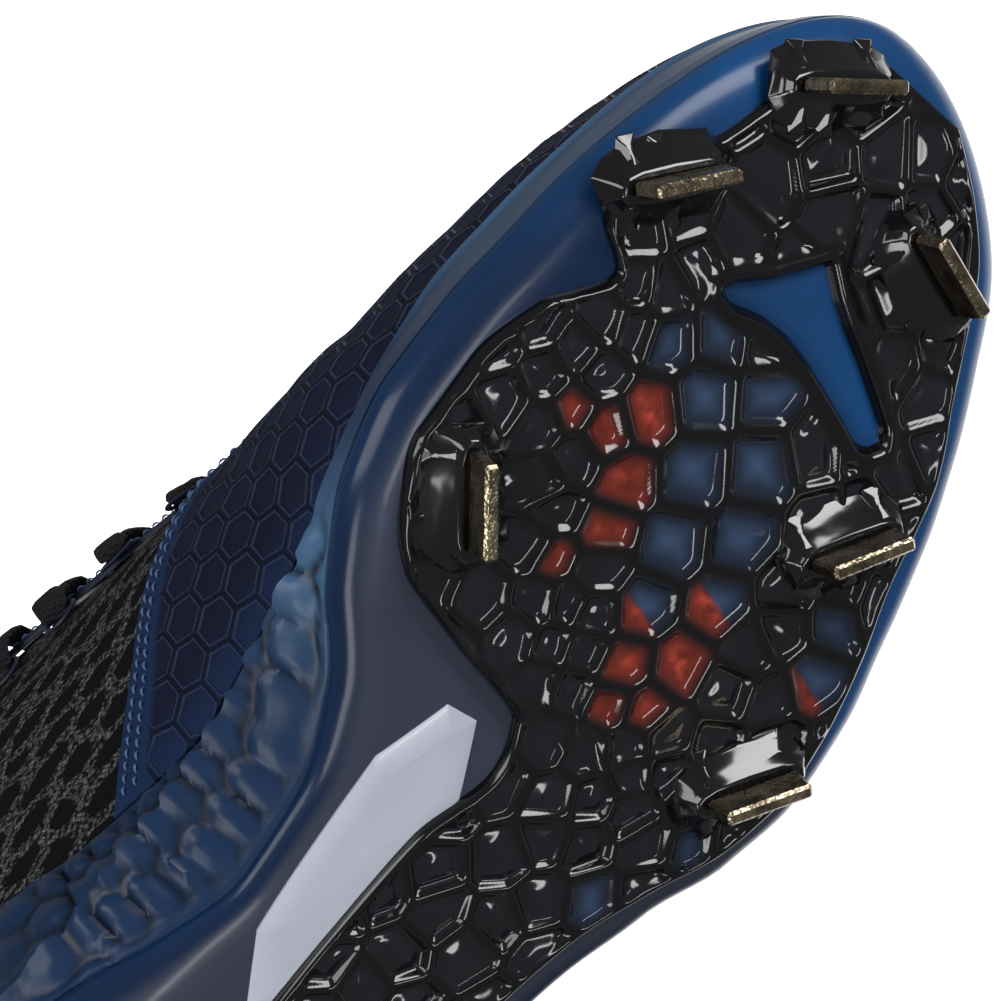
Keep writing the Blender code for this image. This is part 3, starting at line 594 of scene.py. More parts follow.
    def skin(self, s, v, out):
        """Points at a distance out of the upper's outer face."""
        s, v, out = np.broadcast_arrays(
            np.asarray(s, float), np.asarray(v, float), np.asarray(out, float))
        normal = self.normal(s, v)
        crest = ((v >= 0.97) & (station(s) >= THROAT_FRONT))[..., None]
        both = unit(normal + self.normal(RING - s, v))
        share = np.clip((v - 0.97) / 0.03, 0, 1)[..., None]
        normal = np.where(crest, unit(normal * (1 - share) + both * share), normal)
        normal = np.where((v <= 0)[..., None], self.outward(s, True), normal)
        return self.bare_skin(s, v) + normal * out[..., None]

    def rib_length(self, s):
        steps = [self.bare_skin(s, n / 12) for n in range(13)]
        return sum(np.linalg.norm(b - a, axis=-1) for a, b in zip(steps, steps[1:]))

    def below_top(self, s, distance):
        return np.maximum(1 - distance / self.rib_length(s), 0.05)

    def rand_top(self, s):
        """The v of the rand's top edge."""
        level = by_side(RISE, "rand_", s) * self.size.wall_height
        foot = self.edge_point(s, True, 0.0, self.seat)[..., 2] + GAP
        head = self.top_edge(s)[..., 2]
        full = np.radians(smooth(TOP, "turn", station(s)))
        share = np.clip((level - foot) / (head - foot), 0.05, 0.9)
        return np.arcsin((share * np.sin(full) ** FORM_POWER) ** (1 / FORM_POWER)) / full

    def stay_edge(self, s):
        """The v of the eyestay's lower edge."""
        ahead = (station(s) - THROAT_FRONT) * self.size.shoe_length / STAY_REACH
        width = STAY_WIDTH * np.sqrt(np.clip(1 - np.clip(ahead, 0, 1) ** 2, 0, 1))
        return np.where(ahead >= 1, 1.0, self.below_top(s, width))

    def tongue_point(self, along, reach, out):
        """Point over the throat: reach to each side, out from the skin."""
        along, reach, out = np.broadcast_arrays(along, reach, out)
        half = self.top_half(ring_place(along, 1))
        safe = np.where(half > 0, half, 1.0)
        inner = ring_place(along, -1)
        outer = ring_place(along, 1)
        share = np.clip((reach + half) / (2 * safe), 0, 1)[..., None]
        over = (self.skin(inner, 1.0, out) * (1 - share)
                + self.skin(outer, 1.0, out) * share)
        bow = TONGUE_CROWN * (half / TONGUE_HALF) ** 2 * (1 - (reach / safe) ** 2)
        over[..., 2] += np.maximum(bow, 0.0)
        s = np.where(reach < 0, inner, outer)
        ridge = smooth(TOP, "ridge", along) * self.size.ball_width
        low = np.full(along.shape, 0.3)
        high = np.ones(along.shape)
        for _ in range(24):
            middle = (low + high) / 2
            beyond = np.abs(self.bare_skin(s, middle)[..., 1] - ridge) > np.abs(reach)
            low = np.where(beyond, middle, low)
            high = np.where(beyond, high, middle)
        return np.where((np.abs(reach) < half)[..., None], over, self.skin(s, high, out))


def view_axes():
    """Right, up and backward axes of the photograph's camera on the shoe."""
    right = np.array([1.0, 0.0, 0.0])
    up = np.array([0.0, -1.0, 0.0])
    back = np.array([0.0, 0.0, -1.0])
    tilt = radians(VIEW_TILT)
    roll = radians(VIEW_ROLL)
    tilted_up = np.cos(tilt) * up - np.sin(tilt) * back
    tilted_back = np.sin(tilt) * up + np.cos(tilt) * back
    image_right = np.cos(roll) * right - np.sin(roll) * tilted_up
    image_up = np.sin(roll) * right + np.cos(roll) * tilted_up
    return image_right, image_up, tilted_back


def on_plate(form, spot, drop=0.002):
    """Plan point of the plate that the camera sees at a pixel."""
    right, up, back = view_axes()
    aim = np.array(AIM_POINT)
    eye = aim + back * VIEW_DISTANCE
    x = (spot.px - AIM_PIXEL[0]) / PIXELS_PER_METRE
    y = -(spot.py - AIM_PIXEL[1]) / PIXELS_PER_METRE
    ray = aim + right * x + up * y - eye
    level = 0.0
    for _ in range(6):
        hit = eye + ray * ((level - drop - eye[2]) / ray[2])
        level = float(form.ground(hit[0] / form.size.shoe_length))
    return hit[:2]


def grid_faces(columns, rows, wrap, start=0, flip=False):
    """Quads of a grid whose vertices run along its rows."""
    spans = columns if wrap else columns - 1
    c, r = np.meshgrid(np.arange(spans), np.arange(rows - 1), indexing="ij")
    d = (c + 1) % columns
    quads = np.stack([c * rows + r, d * rows + r, d * rows + r + 1, c * rows + r + 1],
                     axis=-1).reshape(-1, 4)
    if flip:
        quads = quads[:, ::-1]
    return (quads + start).tolist()


def join_parts(parts):
    """One list of points and faces from several."""
    points = []
    faces = []
    count = 0
    for some_points, some_faces in parts:
        points.append(np.asarray(some_points).reshape(-1, 3))
        faces += [tuple(corner + count for corner in face) for face in some_faces]
        count += len(points[-1])
    return np.concatenate(points), faces


def shell(outer, inner, wrap, shut=None):
    """Points and faces of a closed wall between two grids of the same size."""
    columns, rows = outer.shape[:2]
    count = columns * rows
    faces = grid_faces(columns, rows, wrap)
    faces += grid_faces(columns, rows, wrap, count, flip=True)
    for c in range(columns if wrap else columns - 1):
        d = (c + 1) % columns
        low = (d * rows, c * rows)
        faces.append((*low, low[1] + count, low[0] + count))
        if shut is None or not (shut[c] and shut[d]):
            high = (c * rows + rows - 1, d * rows + rows - 1)
            faces.append((*high, high[1] + count, high[0] + count))
    if not wrap:
        last = (columns - 1) * rows
        for r in range(rows - 1):
            faces.append((r, r + 1, count + r + 1, count + r))
            faces.append((last + r + 1, last + r, count + last + r, count + last + r + 1))
    return np.concatenate([outer.reshape(-1, 3), inner.reshape(-1, 3)]), faces


def fill_ring(ring):
    """Faces across a ring of vertices that mirrors itself about its first one."""
    count = len(ring)
    faces = []
    for k in range(count // 2):
        corners = (ring[k], ring[k + 1], ring[(count - k - 1) % count],
                   ring[(count - k) % count])
        faces.append(tuple(dict.fromkeys(corners)))
    return faces


def one_face(ring):
    return [tuple(ring)]


def tube(grid, cap=one_face):
    """Points and faces of a ring of columns whose two ends are shut."""
    count, rows = grid.shape[:2]
    faces = grid_faces(count, rows, True)
    for row in (0, rows - 1):
        faces += cap([c * rows + row for c in range(count)])
    return grid.reshape(-1, 3), faces


def on_both(outer, inner):
    """A mark's values on a shell's outer points, then on its inner ones."""
    return np.concatenate([outer.ravel(), np.broadcast_to(inner, outer.shape).ravel()])


def boxy_ring(angle, length, width):
    """Two coordinates of a ring between an ellipse and a rectangle."""
    cos = np.cos(angle)
    sin = np.sin(angle)
    return (np.sign(cos) * np.abs(cos) ** 0.6 * length / 2,
            np.sign(sin) * np.abs(sin) ** 0.8 * width / 2)


def stitch_run(path, lift, length):
    """Points and faces of short thread loops along a path of points."""
    steps = np.linalg.norm(np.diff(path, axis=0), axis=-1)
    reach = np.concatenate([[0], np.cumsum(steps)])
    angle = np.arange(6) * pi / 3
    parts = []
    start = STITCH_PAUSE
    while start + length < reach[-1]:
        spots = np.linspace(start, start + length, 5)
        middle, up = (
            np.stack([np.interp(spots, reach, row) for row in values.T], axis=-1)
            for values in (path, lift))
        up = unit(up)
        run = unit(np.gradient(middle, axis=0))
        across = unit(np.cross(run, up))
        thick = STITCH_RADIUS * np.array([0.25, 0.85, 1.0, 0.85, 0.25])[:, None, None]
        arch = (np.array([-0.6, 0.5, 0.8, 0.5, -0.6]) * STITCH_RADIUS)[:, None, None]
        ring = (middle[:, None] + across[:, None] * np.cos(angle)[None, :, None] * thick
                + up[:, None] * (np.sin(angle)[None, :, None] * thick * 0.7 + arch))
        parts.append(tube(ring.transpose(1, 0, 2)))
        start += length + STITCH_PAUSE
    return join_parts(parts)


def strand(path, lift, width, height):
    """Points and faces of a flat strand with round edges."""
    run = unit(np.gradient(path, axis=0))
    across = unit(np.cross(run, lift))
    up = unit(np.cross(across, run))
    wide, high = boxy_ring(np.arange(12) * pi / 6, width, height)
    ring = (path[:, None] + across[:, None] * wide[None, :, None]
            + up[:, None] * high[None, :, None])
    return tube(ring.transpose(1, 0, 2))


def rim_ring(place, axis):
    """Points and faces of a round eyelet rim."""
    axis = unit(axis)
    side_way = unit(np.cross(axis, np.array([1.0, 0.0, 0.0])))
    other = np.cross(axis, side_way)
    turn = (np.arange(20) * pi / 10)[:, None, None]
    bend = (np.arange(8) * pi / 4)[None, :, None]
    spoke = side_way * np.cos(turn) + other * np.sin(turn)
    points = (place + spoke * (EYELET_RADIUS + EYELET_TUBE * np.cos(bend))
              + axis * EYELET_TUBE * 0.6 * np.sin(bend))
    c, r = np.meshgrid(np.arange(20), np.arange(8), indexing="ij")
    d, t = (c + 1) % 20, (r + 1) % 8
    faces = np.stack([c * 8 + r, d * 8 + r, d * 8 + t, c * 8 + t], axis=-1).reshape(-1, 4)
    return points, faces.tolist()


def hex_border(x, y):
    """Distance to the nearest border of hexagons that lie one unit apart."""
    def reach(shift_x, shift_y):
        a = np.abs(np.mod(x - shift_x, 1.0) - 0.5)
        b = np.abs(np.mod(y - shift_y, ROOT_3) - ROOT_3 / 2)
        return np.maximum(a, a / 2 + b * ROOT_3 / 2)
    return 0.5 - np.minimum(reach(0.0, 0.0), reach(0.5, ROOT_3 / 2))


def guard_lattice(run, climb):
    """Coordinates in the embossing's hexagons, of arrays or of wires."""
    turn = radians(GUARD_TURN)
    return ((run * np.sin(turn) + climb * np.cos(turn)) / GUARD_PITCH,
            (run * np.cos(turn) - climb * np.sin(turn)) / GUARD_PITCH)


def ease(low, high, value):
    t = np.clip((value - low) / (high - low), 0, 1)
    return t * t * (3 - 2 * t)


def maths(operation, swap=False):
    """Method of a wire that adds a Math node."""
    def method(self, *others):
        values = (*others, self) if swap else (self, *others)
        return self.board.node("ShaderNodeMath", {"operation": operation},
                               dict(enumerate(values)))
    return method


class Wire:
    """An output socket that takes part in Python expressions."""

    def __init__(self, board, socket):
        self.board = board
        self.socket = socket

    __add__ = __radd__ = maths("ADD")
    __mul__ = __rmul__ = maths("MULTIPLY")
    __sub__ = maths("SUBTRACT")
    __rsub__ = maths("SUBTRACT", swap=True)
    __truediv__ = maths("DIVIDE")
    __rtruediv__ = maths("DIVIDE", swap=True)
    __mod__ = maths("FLOORED_MODULO")
    __abs__ = maths("ABSOLUTE")
    least = maths("MINIMUM")
    most = maths("MAXIMUM")
    sine = maths("SINE")


class Board:
    """A node tree in the making."""

    def __init__(self, tree):
        self.tree = tree

    def node(self, kind, settings=None, values=None, output=0):
        made = self.tree.nodes.new(kind)
        for key, value in (settings or {}).items():
            setattr(made, key, value)
        for key, value in (values or {}).items():
            if isinstance(value, Wire):
                self.tree.links.new(value.socket, made.inputs[key])
            else:
                made.inputs[key].default_value = value
        return Wire(self, made.outputs[output])

    def mark(self, name):
        return self.node("ShaderNodeAttribute", {"attribute_name": name}, output="Fac")

    def place(self):
        return self.node("ShaderNodeTexCoord", output="Object")

    def vector(self, *parts):
        return self.node("ShaderNodeCombineXYZ", None, dict(enumerate(parts)))

    def noise(self, scale, detail=2.0, stretch=None, vector=None):
        vector = vector or self.place()
        if stretch:
            vector = self.node("ShaderNodeMapping", None, {"Vector": vector, "Scale": stretch})
        return self.node("ShaderNodeTexNoise", None,
                         {"Vector": vector, "Scale": scale, "Detail": detail})

    def mix(self, factor, first, second):
        def paint(value):
            return value if isinstance(value, Wire) else (*value, 1.0)
        return self.node("ShaderNodeMix", {"data_type": "RGBA"},
                         {0: factor, 6: paint(first), 7: paint(second)}, output=2)

    def step(self, value, low, high):
        return self.node("ShaderNodeMapRange", {"interpolation_type": "SMOOTHSTEP"},
                         {"Value": value, "From Min": low, "From Max": high})

    def hexes(self, x, y):
        """Distance to the nearest border of hexagons that lie one unit apart."""
        def reach(shift_x, shift_y):
            a = abs((x - shift_x) % 1.0 - 0.5)
            b = abs((y - shift_y) % ROOT_3 - ROOT_3 / 2)
            return a.most(a * 0.5 + b * (ROOT_3 / 2))
        return 0.5 - reach(0.0, 0.0).least(reach(0.5, ROOT_3 / 2))


class Look(Board):
    """A material in the making, with its shader."""

    def __init__(self, name, **settings):
        self.material = bpy.data.materials.new(name)
        self.material.use_nodes = True
        super().__init__(self.material.node_tree)
        self.shader = self.tree.nodes["Principled BSDF"]
        for socket, value in settings.items():
            self.shader.inputs[socket.replace("_", " ")].default_value = value

    def set(self, socket, value):
        self.tree.links.new(value.socket, self.shader.inputs[socket])

    def vary(self, factor, colour, low, high=1.0):
        """One colour between two shares of it."""
        return self.mix(factor, shade(colour, low), shade(colour, high))

    def finish(self, colour, height, strength, distance, roughness=None):
        """The material, with what varies over it linked to its shader."""
        self.set("Base Color", colour)
        if roughness is not None:
            self.set("Roughness", roughness)
        self.set("Normal", self.node("ShaderNodeBump", None, {
            "Height": height, "Strength": strength, "Distance": distance}))
        return self.material


def shade(colour, share):
    return tuple(channel * share for channel in colour)


def carrier_look(colours):
    look = Look("carrier_gloss", Specular_IOR_Level=0.20, Coat_Weight=0.07,
                Coat_Roughness=0.06)
    x = look.mark("x")
    # edge is low on the rounded flank, where less navy is laid: the lighter blue there is a
    # painted highlight
    edge = look.mark("edge")
    # Navy on the inner forefoot is partly the carrier's colour and partly painted shade
    medial = 1.0 - look.step(look.mark("y"), *NAVY_ACROSS)
    waist = 1.0 - look.step(x, *WAIST_END)
    forefoot = 1.0 - look.step(x, *NAVY_END)
    navy = (medial * forefoot * 0.85).most(waist * 0.95) * edge
    blue = look.vary(look.noise(38.0, 3.0), colours.carrier_blue, 0.75, 1.2)
    flat = look.step(edge, 0.90, 1.0)
    deep = look.mix(waist * flat, colours.carrier_navy, colours.carrier_grey)
    return look.finish(look.mix(navy, blue, deep), look.noise(90.0, 3.0), 0.05, 0.0004,
                       roughness=0.20 + look.noise(55.0, 4.0) * 0.10)


def rand_look(colours):
    look = Look("rand_satin", Specular_IOR_Level=0.22, Coat_Weight=0.03,
                Coat_Roughness=0.2)
    # low is a much darker blue, painted into the grooves between the pillows as painted shade
    low = shade(colours.rand_blue, 0.12)
    # The rand is lighter where the highlight mark is high: a painted highlight in its colour,
    # over a darker blue elsewhere
    tone = look.mix(look.mark("painted_highlight"), shade(colours.rand_blue, 0.6), colours.rand_highlight)
    tone = look.mix(look.noise(45.0, 2.0) * 0.5, tone, colours.rand_blue)
    return look.finish(look.mix(look.mark("cell"), low, tone), look.noise(1400.0, 2.0),
                       0.10, 0.0002, roughness=0.28 + look.noise(160.0, 3.0) * 0.14)


def plate_look(colours):
    look = Look("plate_gloss", IOR=1.45, Specular_IOR_Level=0.55)
    dome = look.mark("dome")
    cloud = look.step(look.noise(330.0, 4.0), 0.35, 0.70)
    fog = look.noise(120.0, 3.0)
    ground = look.mix(look.mark("inside") * fog, colours.plate_black, colours.cell_smoke)
    blue = look.vary(dome * (0.45 + fog), colours.cell_blue, 0.22)
    red = look.vary(cloud * dome, colours.cell_red, 0.18)
    paint = look.mix(look.mark("blue"), ground, blue)
    return look.finish(look.mix(look.mark("red"), paint, red), look.noise(75.0, 2.0),
                       0.04, 0.0010, roughness=0.07 + look.noise(200.0, 3.0) * 0.08)


def pedestal_look(colours):
    look = Look("pedestal_gloss", IOR=1.45, Specular_IOR_Level=0.7)
    tint = look.noise(60.0, 2.0)
    return look.finish(look.vary(tint, colours.plate_black, 0.6, 1.8),
                       look.noise(130.0, 2.0), 0.12, 0.0010, roughness=0.05 + tint * 0.10)


def steel_look(colours):
    look = Look("brushed_steel", Metallic=1.0)
    brush = look.noise(500.0, 3.0, stretch=(1.0, 1.0, 0.10))
    pits = look.node("ShaderNodeTexVoronoi", {"feature": "F1"},
                     {"Vector": look.place(), "Scale": 1500.0})
    grime = look.step(look.noise(170.0, 3.0), 0.40, 0.68)
    metal = look.vary(brush, colours.steel, 0.45)
    return look.finish(look.mix(grime * 0.8, metal, shade(colours.steel, 0.12)),
                       pits * 0.6 + brush * 0.4, 0.55, 0.0003,
                       roughness=0.16 + brush * 0.22)


def guard_look(colours):
    look = Look("embossed_skin", Specular_IOR_Level=0.12)
    run = look.mark("run")
    climb = look.mark("climb")
    border = look.hexes(*guard_lattice(run, climb))
    embossed = 1.0 - look.mark("band")
    groove = (1.0 - look.step(border, 0.015, 0.045)) * embossed
    ridge = look.step(border, 0.045, 0.075) - look.step(border, 0.085, 0.125)
    ridge = ridge * embossed
    fine = ((run * 1.4 + climb) * 5200.0).sine()
    cloud = look.noise(48.0, 3.0)
    tone = look.vary(look.step(cloud, 0.3, 0.7), colours.guard_navy, 0.7)
    tone = look.mix(look.mark("blue"), tone, colours.guard_blue)
    # Painted shade: the grooves between the hexagons are darkened
    tone = look.mix(groove * 0.7, tone, shade(colours.guard_navy, 0.25))
    height = ridge - groove * 0.7 + fine * 0.05 + look.noise(900.0, 2.0) * 0.12
    # The raised lines get a lighter colour: a painted highlight
    return look.finish(look.mix(ridge * 0.7, tone, colours.guard_ridge_highlight), height, 0.9, 0.0005,
                       roughness=0.55 - ridge * 0.2)


def knit_look(colours):
    look = Look("melange_knit", Roughness=0.9, Specular_IOR_Level=0.1)
    run = look.mark("run")
    climb = look.mark("climb")
    dense = look.mark("dense")
    warp = look.noise(70.0, 2.0)
    border = look.hexes(run / 0.0125 + warp * 1.1, climb / 0.0062 + warp * 0.6)
    hole = look.step(border, 0.14, 0.20) * (1.0 - dense)
    zigzag = abs((climb / 0.0018) % 1.0 - 0.5)
    course = ((run / 0.0011 + zigzag * 1.6) * (2 * pi)).sine() * 0.5 + 0.5
    flat = look.vector(run, climb, 0.0)
    yarn = look.step(look.noise(850.0, 2.0, (1.0, 1.5, 1.0), flat), 0.44, 0.58)
    cream = look.step(look.noise(620.0, 2.0, (1.0, 1.5, 1.0), flat), 0.56, 0.66)
    tone = look.mix(yarn, colours.knit_black, colours.knit_grey)
    tone = look.mix(cream * (0.35 + dense * 0.65), tone, colours.knit_cream)
    tone = look.mix(course * 0.55, tone, colours.knit_black)
    return look.finish(look.mix(hole, tone, shade(colours.knit_black, 0.6)),
                       course * (1.0 - hole) - hole * 0.8 + yarn * 0.2, 0.9, 0.0006)


def cloth_look(colours, name, pitch, light=2.2):
    look = Look(name, Roughness=0.88, Specular_IOR_Level=0.15)
    weave, across = (
        look.node("ShaderNodeTexWave", {"bands_direction": way},
                  {"Vector": look.place(), "Scale": 0.32 / pitch, "Distortion": 3.0})
        for way in ("DIAGONAL", "X"))
    both = weave.most(across)
    return look.finish(look.vary(both, colours.cloth_black, 1.0, light), both, 0.7, 0.0004)


def film_look(colours):
    look = Look("eyestay_film", Coat_Weight=0.1, Coat_Roughness=0.3)
    cloud = look.noise(260.0, 3.0)
    return look.finish(look.vary(cloud, colours.guard_navy, 0.6, 1.3),
                       look.noise(1300.0, 2.0), 0.25, 0.0002, roughness=0.36 + cloud * 0.18)


def thread_look(colours):
    look = Look("blue_thread", Roughness=0.6, Sheen_Weight=0.2)
    twist = look.noise(2600.0, 1.0)
    return look.finish(look.vary(twist, colours.thread_blue, 0.35), twist, 0.4, 0.0002)


def inlay_look(colours):
    look = Look("arch_inlay", Coat_Weight=0.3, Coat_Roughness=0.15)
    return look.finish(look.vary(look.noise(30.0, 3.0), colours.inlay_grey, 0.8, 1.1),
                       look.noise(500.0), 0.05, 0.0002,
                       roughness=0.26 + look.noise(240.0, 3.0) * 0.12)


class CleatStep(bpy.types.Operator):
    """Common ground of the steps that make the pieces"""
    bl_idname = "cleat.step"
    bl_label = "Cleat step"

    def execute(self, context):
        self.form = ShoeForm(context.scene.cleat_sizes)
        self.colours = context.scene.cleat_colours
        self.size = context.scene.cleat_sizes
        self.make(context)
        return {"FINISHED"}

    def make(self, context):
        """Overridden by each step"""

    def add(self, name, shape, look, slot, marks=None, extra=False, crease=50):
        """It is worn flat where it touches the floor. It replaces the node that its
        slot names, or is an extra piece beside the one that does.
        """
        points, faces = shape
        placed = self.form.world(np.asarray(points).reshape(-1, 3))
        placed[:, 2] = np.maximum(placed[:, 2], 0.0)
        mesh = bpy.data.meshes.new(name)
        mesh.from_pydata(placed.tolist(), [], faces)
        for mark, values in (marks or {}).items():
            layer = mesh.attributes.new(mark, "FLOAT", "POINT")
            layer.data.foreach_set("value", np.asarray(values, np.float32).ravel())
        bm = bmesh.new()
        bm.from_mesh(mesh)
        bmesh.ops.remove_doubles(bm, verts=bm.verts, dist=0.000001)
        bmesh.ops.recalc_face_normals(bm, faces=bm.faces)
        if bm.calc_volume(signed=True) < 0:
            bmesh.ops.reverse_faces(bm, faces=bm.faces)
        bm.to_mesh(mesh)
        bm.free()
        mesh.shade_smooth()
        mesh.set_sharp_from_angle(angle=radians(crease))
        mesh.materials.append(look)
        piece = bpy.data.objects.new(name, mesh)
        bpy.context.scene.collection.objects.link(piece)
        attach(piece, BODY)
        if not extra:
            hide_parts(slot)
        return piece


class CLEAT_OT_stage(CleatStep):
    """Set up the floor, the lights and the photograph's camera"""
    bl_idname = "cleat.stage"
    bl_label = "Stage"

    def make(self, context):
        self.add_camera(context.scene)
        self.add_floor(context.scene)
        self.add_world(context.scene)
        context.scene.view_settings.view_transform = "Standard"
        for box in LIGHTS:
            self.add_light(box)

    def add_camera(self, scene):
        right, up, back = view_axes()
        turn = self.form.turn
        eye = self.form.world(np.array(AIM_POINT)) + turn @ back * VIEW_DISTANCE
        x = (AIM_PIXEL[0] - PHOTO_WIDTH / 2) / (PIXELS_PER_METRE * VIEW_DISTANCE)
        y = (PHOTO_HEIGHT / 2 - AIM_PIXEL[1]) / (PIXELS_PER_METRE * VIEW_DISTANCE)
        axes = Matrix(np.stack([turn @ right, turn @ up, turn @ back], axis=1).tolist())
        swing = Vector((0.0, 0.0, -1.0)).rotation_difference(Vector((x, y, -1.0)))
        pose = axes @ swing.to_matrix().inverted()
        data = bpy.data.cameras.new("photo_camera")
        data.sensor_fit = "HORIZONTAL"
        data.sensor_width = SENSOR_WIDTH
        data.lens = SENSOR_WIDTH * PIXELS_PER_METRE * VIEW_DISTANCE / PHOTO_WIDTH
        data.clip_start = 0.01
        camera = bpy.data.objects.new("photo_camera", data)
        camera.matrix_world = Matrix.Translation(Vector(eye)) @ pose.to_4x4()
        scene.collection.objects.link(camera)
        scene.camera = camera

    def add_floor(self, scene):
        half = FLOOR_HALF
        mesh = bpy.data.meshes.new("studio_floor")
        mesh.from_pydata([(-half, -half, 0), (half, -half, 0), (half, half, 0),
                          (-half, half, 0)], [], [(0, 1, 2, 3)])
        look = Look("studio_floor", Roughness=0.9, Specular_IOR_Level=0.0)
        look.shader.inputs["Base Color"].default_value = (0.9, 0.9, 0.9, 1.0)
        look.shader.inputs["Emission Color"].default_value = (1.0, 1.0, 1.0, 1.0)
        look.shader.inputs["Emission Strength"].default_value = 0.95
        mesh.materials.append(look.material)
        floor = bpy.data.objects.new("studio_floor", mesh)
        floor.visible_glossy = False
        floor.visible_diffuse = False
        scene.collection.objects.link(floor)

    def add_world(self, scene):
        """Dim surroundings, pale behind the shoe, as its outline mirrors them."""
        world = bpy.data.worlds.new("studio")
        world.use_nodes = True
        sky = world.node_tree.nodes["Background"]
        sky.inputs["Color"].default_value = (1.0, 0.99, 0.98, 1.0)
        board = Board(world.node_tree)
        heading = board.node("ShaderNodeTexCoord", output="Generated")
        ahead = self.form.turn @ unit(np.array(GLOW_AXIS))
        behind = board.node("ShaderNodeVectorMath", {"operation": "DOT_PRODUCT"},
                            {0: heading, 1: ahead.tolist()}, output="Value")
        glow = board.step(behind, 0.70, 0.92) * RIM_GLOW + WORLD_GLOW
        world.node_tree.links.new(glow.socket, sky.inputs["Strength"])
        scene.world = world

    def add_light(self, box):
        light = bpy.data.lights.new(box.name, "AREA")
        light.shape = "RECTANGLE"
        light.size = box.width
        light.size_y = box.height
        light.energy = box.power
        lamp = bpy.data.objects.new(box.name, light)
        lamp.location = box.place
        aim = Vector(LAMP_AIM) - Vector(box.place)
        lamp.rotation_euler = aim.to_track_quat("-Z", "Y").to_euler()
        bpy.context.scene.collection.objects.link(lamp)


class CLEAT_OT_carrier(CleatStep):
    """Make the glossy bottom of the midsole, its window pad and arch inlay"""
    bl_idname = "cleat.carrier"
    bl_label = "Carrier"

    def level(self, share):
        form = self.form
        return lambda along: between(form.ground(along), form.parting(along), share)

    def make(self, context):
        form = self.form
        s = np.arange(0, RING, 0.2)
        rings = [form.edge_point(s, False, SOLE_TURN * inset, self.level(share))
                 for inset, share in CARRIER_PROFILE]
        rings.append(form.edge_point(s, False, CARRIER_RIM[0], form.parting))
        rings.append(form.edge_point(s, True, CARRIER_RIM[1], form.seat))
        points, faces = tube(np.stack(rings, axis=1), fill_ring)
        # edge is 1 on the flat bottom and the top two rings and lower on the rounded flank; the
        # shader lays less navy there, a painted highlight along the side wall
        edge = np.tile([1.0, 1.0, 1.0, 1.0, 0.95, 0.9, 0.85, 0.75, 0.7, 0.7, 1.0, 1.0], len(s))
        self.add("carrier_shell", (points, faces), carrier_look(self.colours), "carrier",
                 {"x": points[:, 0], "y": points[:, 1], "edge": edge})
        self.make_window_pad()
        self.make_inlay()

    def make_window_pad(self):
        """Swelling of the carrier that shows through the plate's window."""
        form = self.form
        corners = window_corners(form)
        low = corners.min(axis=0) - PAD_MARGIN
        high = corners.max(axis=0) + PAD_MARGIN
        columns = 110
        rows = 80
        x, y = np.meshgrid(np.linspace(low[0], high[0], columns),
                           np.linspace(low[1], high[1], rows), indexing="ij")
        depth = window_depth(corners, x, y)
        swell = 0.0013 * (1 - np.exp(-np.maximum(depth + WINDOW_LAP, 0) / 0.0022)) - 0.0002
        points = np.stack([x, y, form.ground(x / self.size.shoe_length) - swell], axis=-1)
        keep = (depth > -WINDOW_LAP).ravel()
        faces = [face for face in grid_faces(columns, rows, False)
                 if all(keep[n] for n in face)]
        used = np.unique(np.array(faces))
        renumber = {old: new for new, old in enumerate(used.tolist())}
        faces = [tuple(renumber[n] for n in face) for face in faces]
        points = points.reshape(-1, 3)[used]
        self.add("window_pad", (points, faces), carrier_look(self.colours), "carrier",
                 {"x": points[:, 0], "y": points[:, 1], "edge": np.ones(len(points))},
                 extra=True)

    def make_inlay(self):
        """Plain long hexagon let into the arch."""
        form = self.form
        tip, tail = (on_plate(form, spot, drop=0.0) for spot in INLAY_AXIS)
        run = tail - tip
        across = np.array([-run[1], run[0]]) / np.linalg.norm(run)
        rings = []
        for shrink, drop in ((0.0, -0.0004), (0.0, 0.0002), (0.0006, 0.0005), (0.004, 0.0006)):
            corners = []
            for share, reach in INLAY_OUTLINE:
                inward = (0.5 - share) * 2 * shrink / np.linalg.norm(run)
                wide = reach - np.sign(reach) * min(shrink, abs(reach))
                corners.append(tip + run * (share + inward) + across * wide)
            corners = np.array(corners)
            fine = np.concatenate([a + (b - a) * np.linspace(0, 1, 24)[:-1, None]
                                   for a, b in zip(corners, np.roll(corners, -1, axis=0))])
            z = form.ground(fine[:, 0] / self.size.shoe_length) - drop
            rings.append(np.concatenate([fine, z[:, None]], axis=-1))
        self.add("arch_inlay", tube(np.stack(rings, axis=1), fill_ring),
                 inlay_look(self.colours), "carrier", extra=True, crease=30)


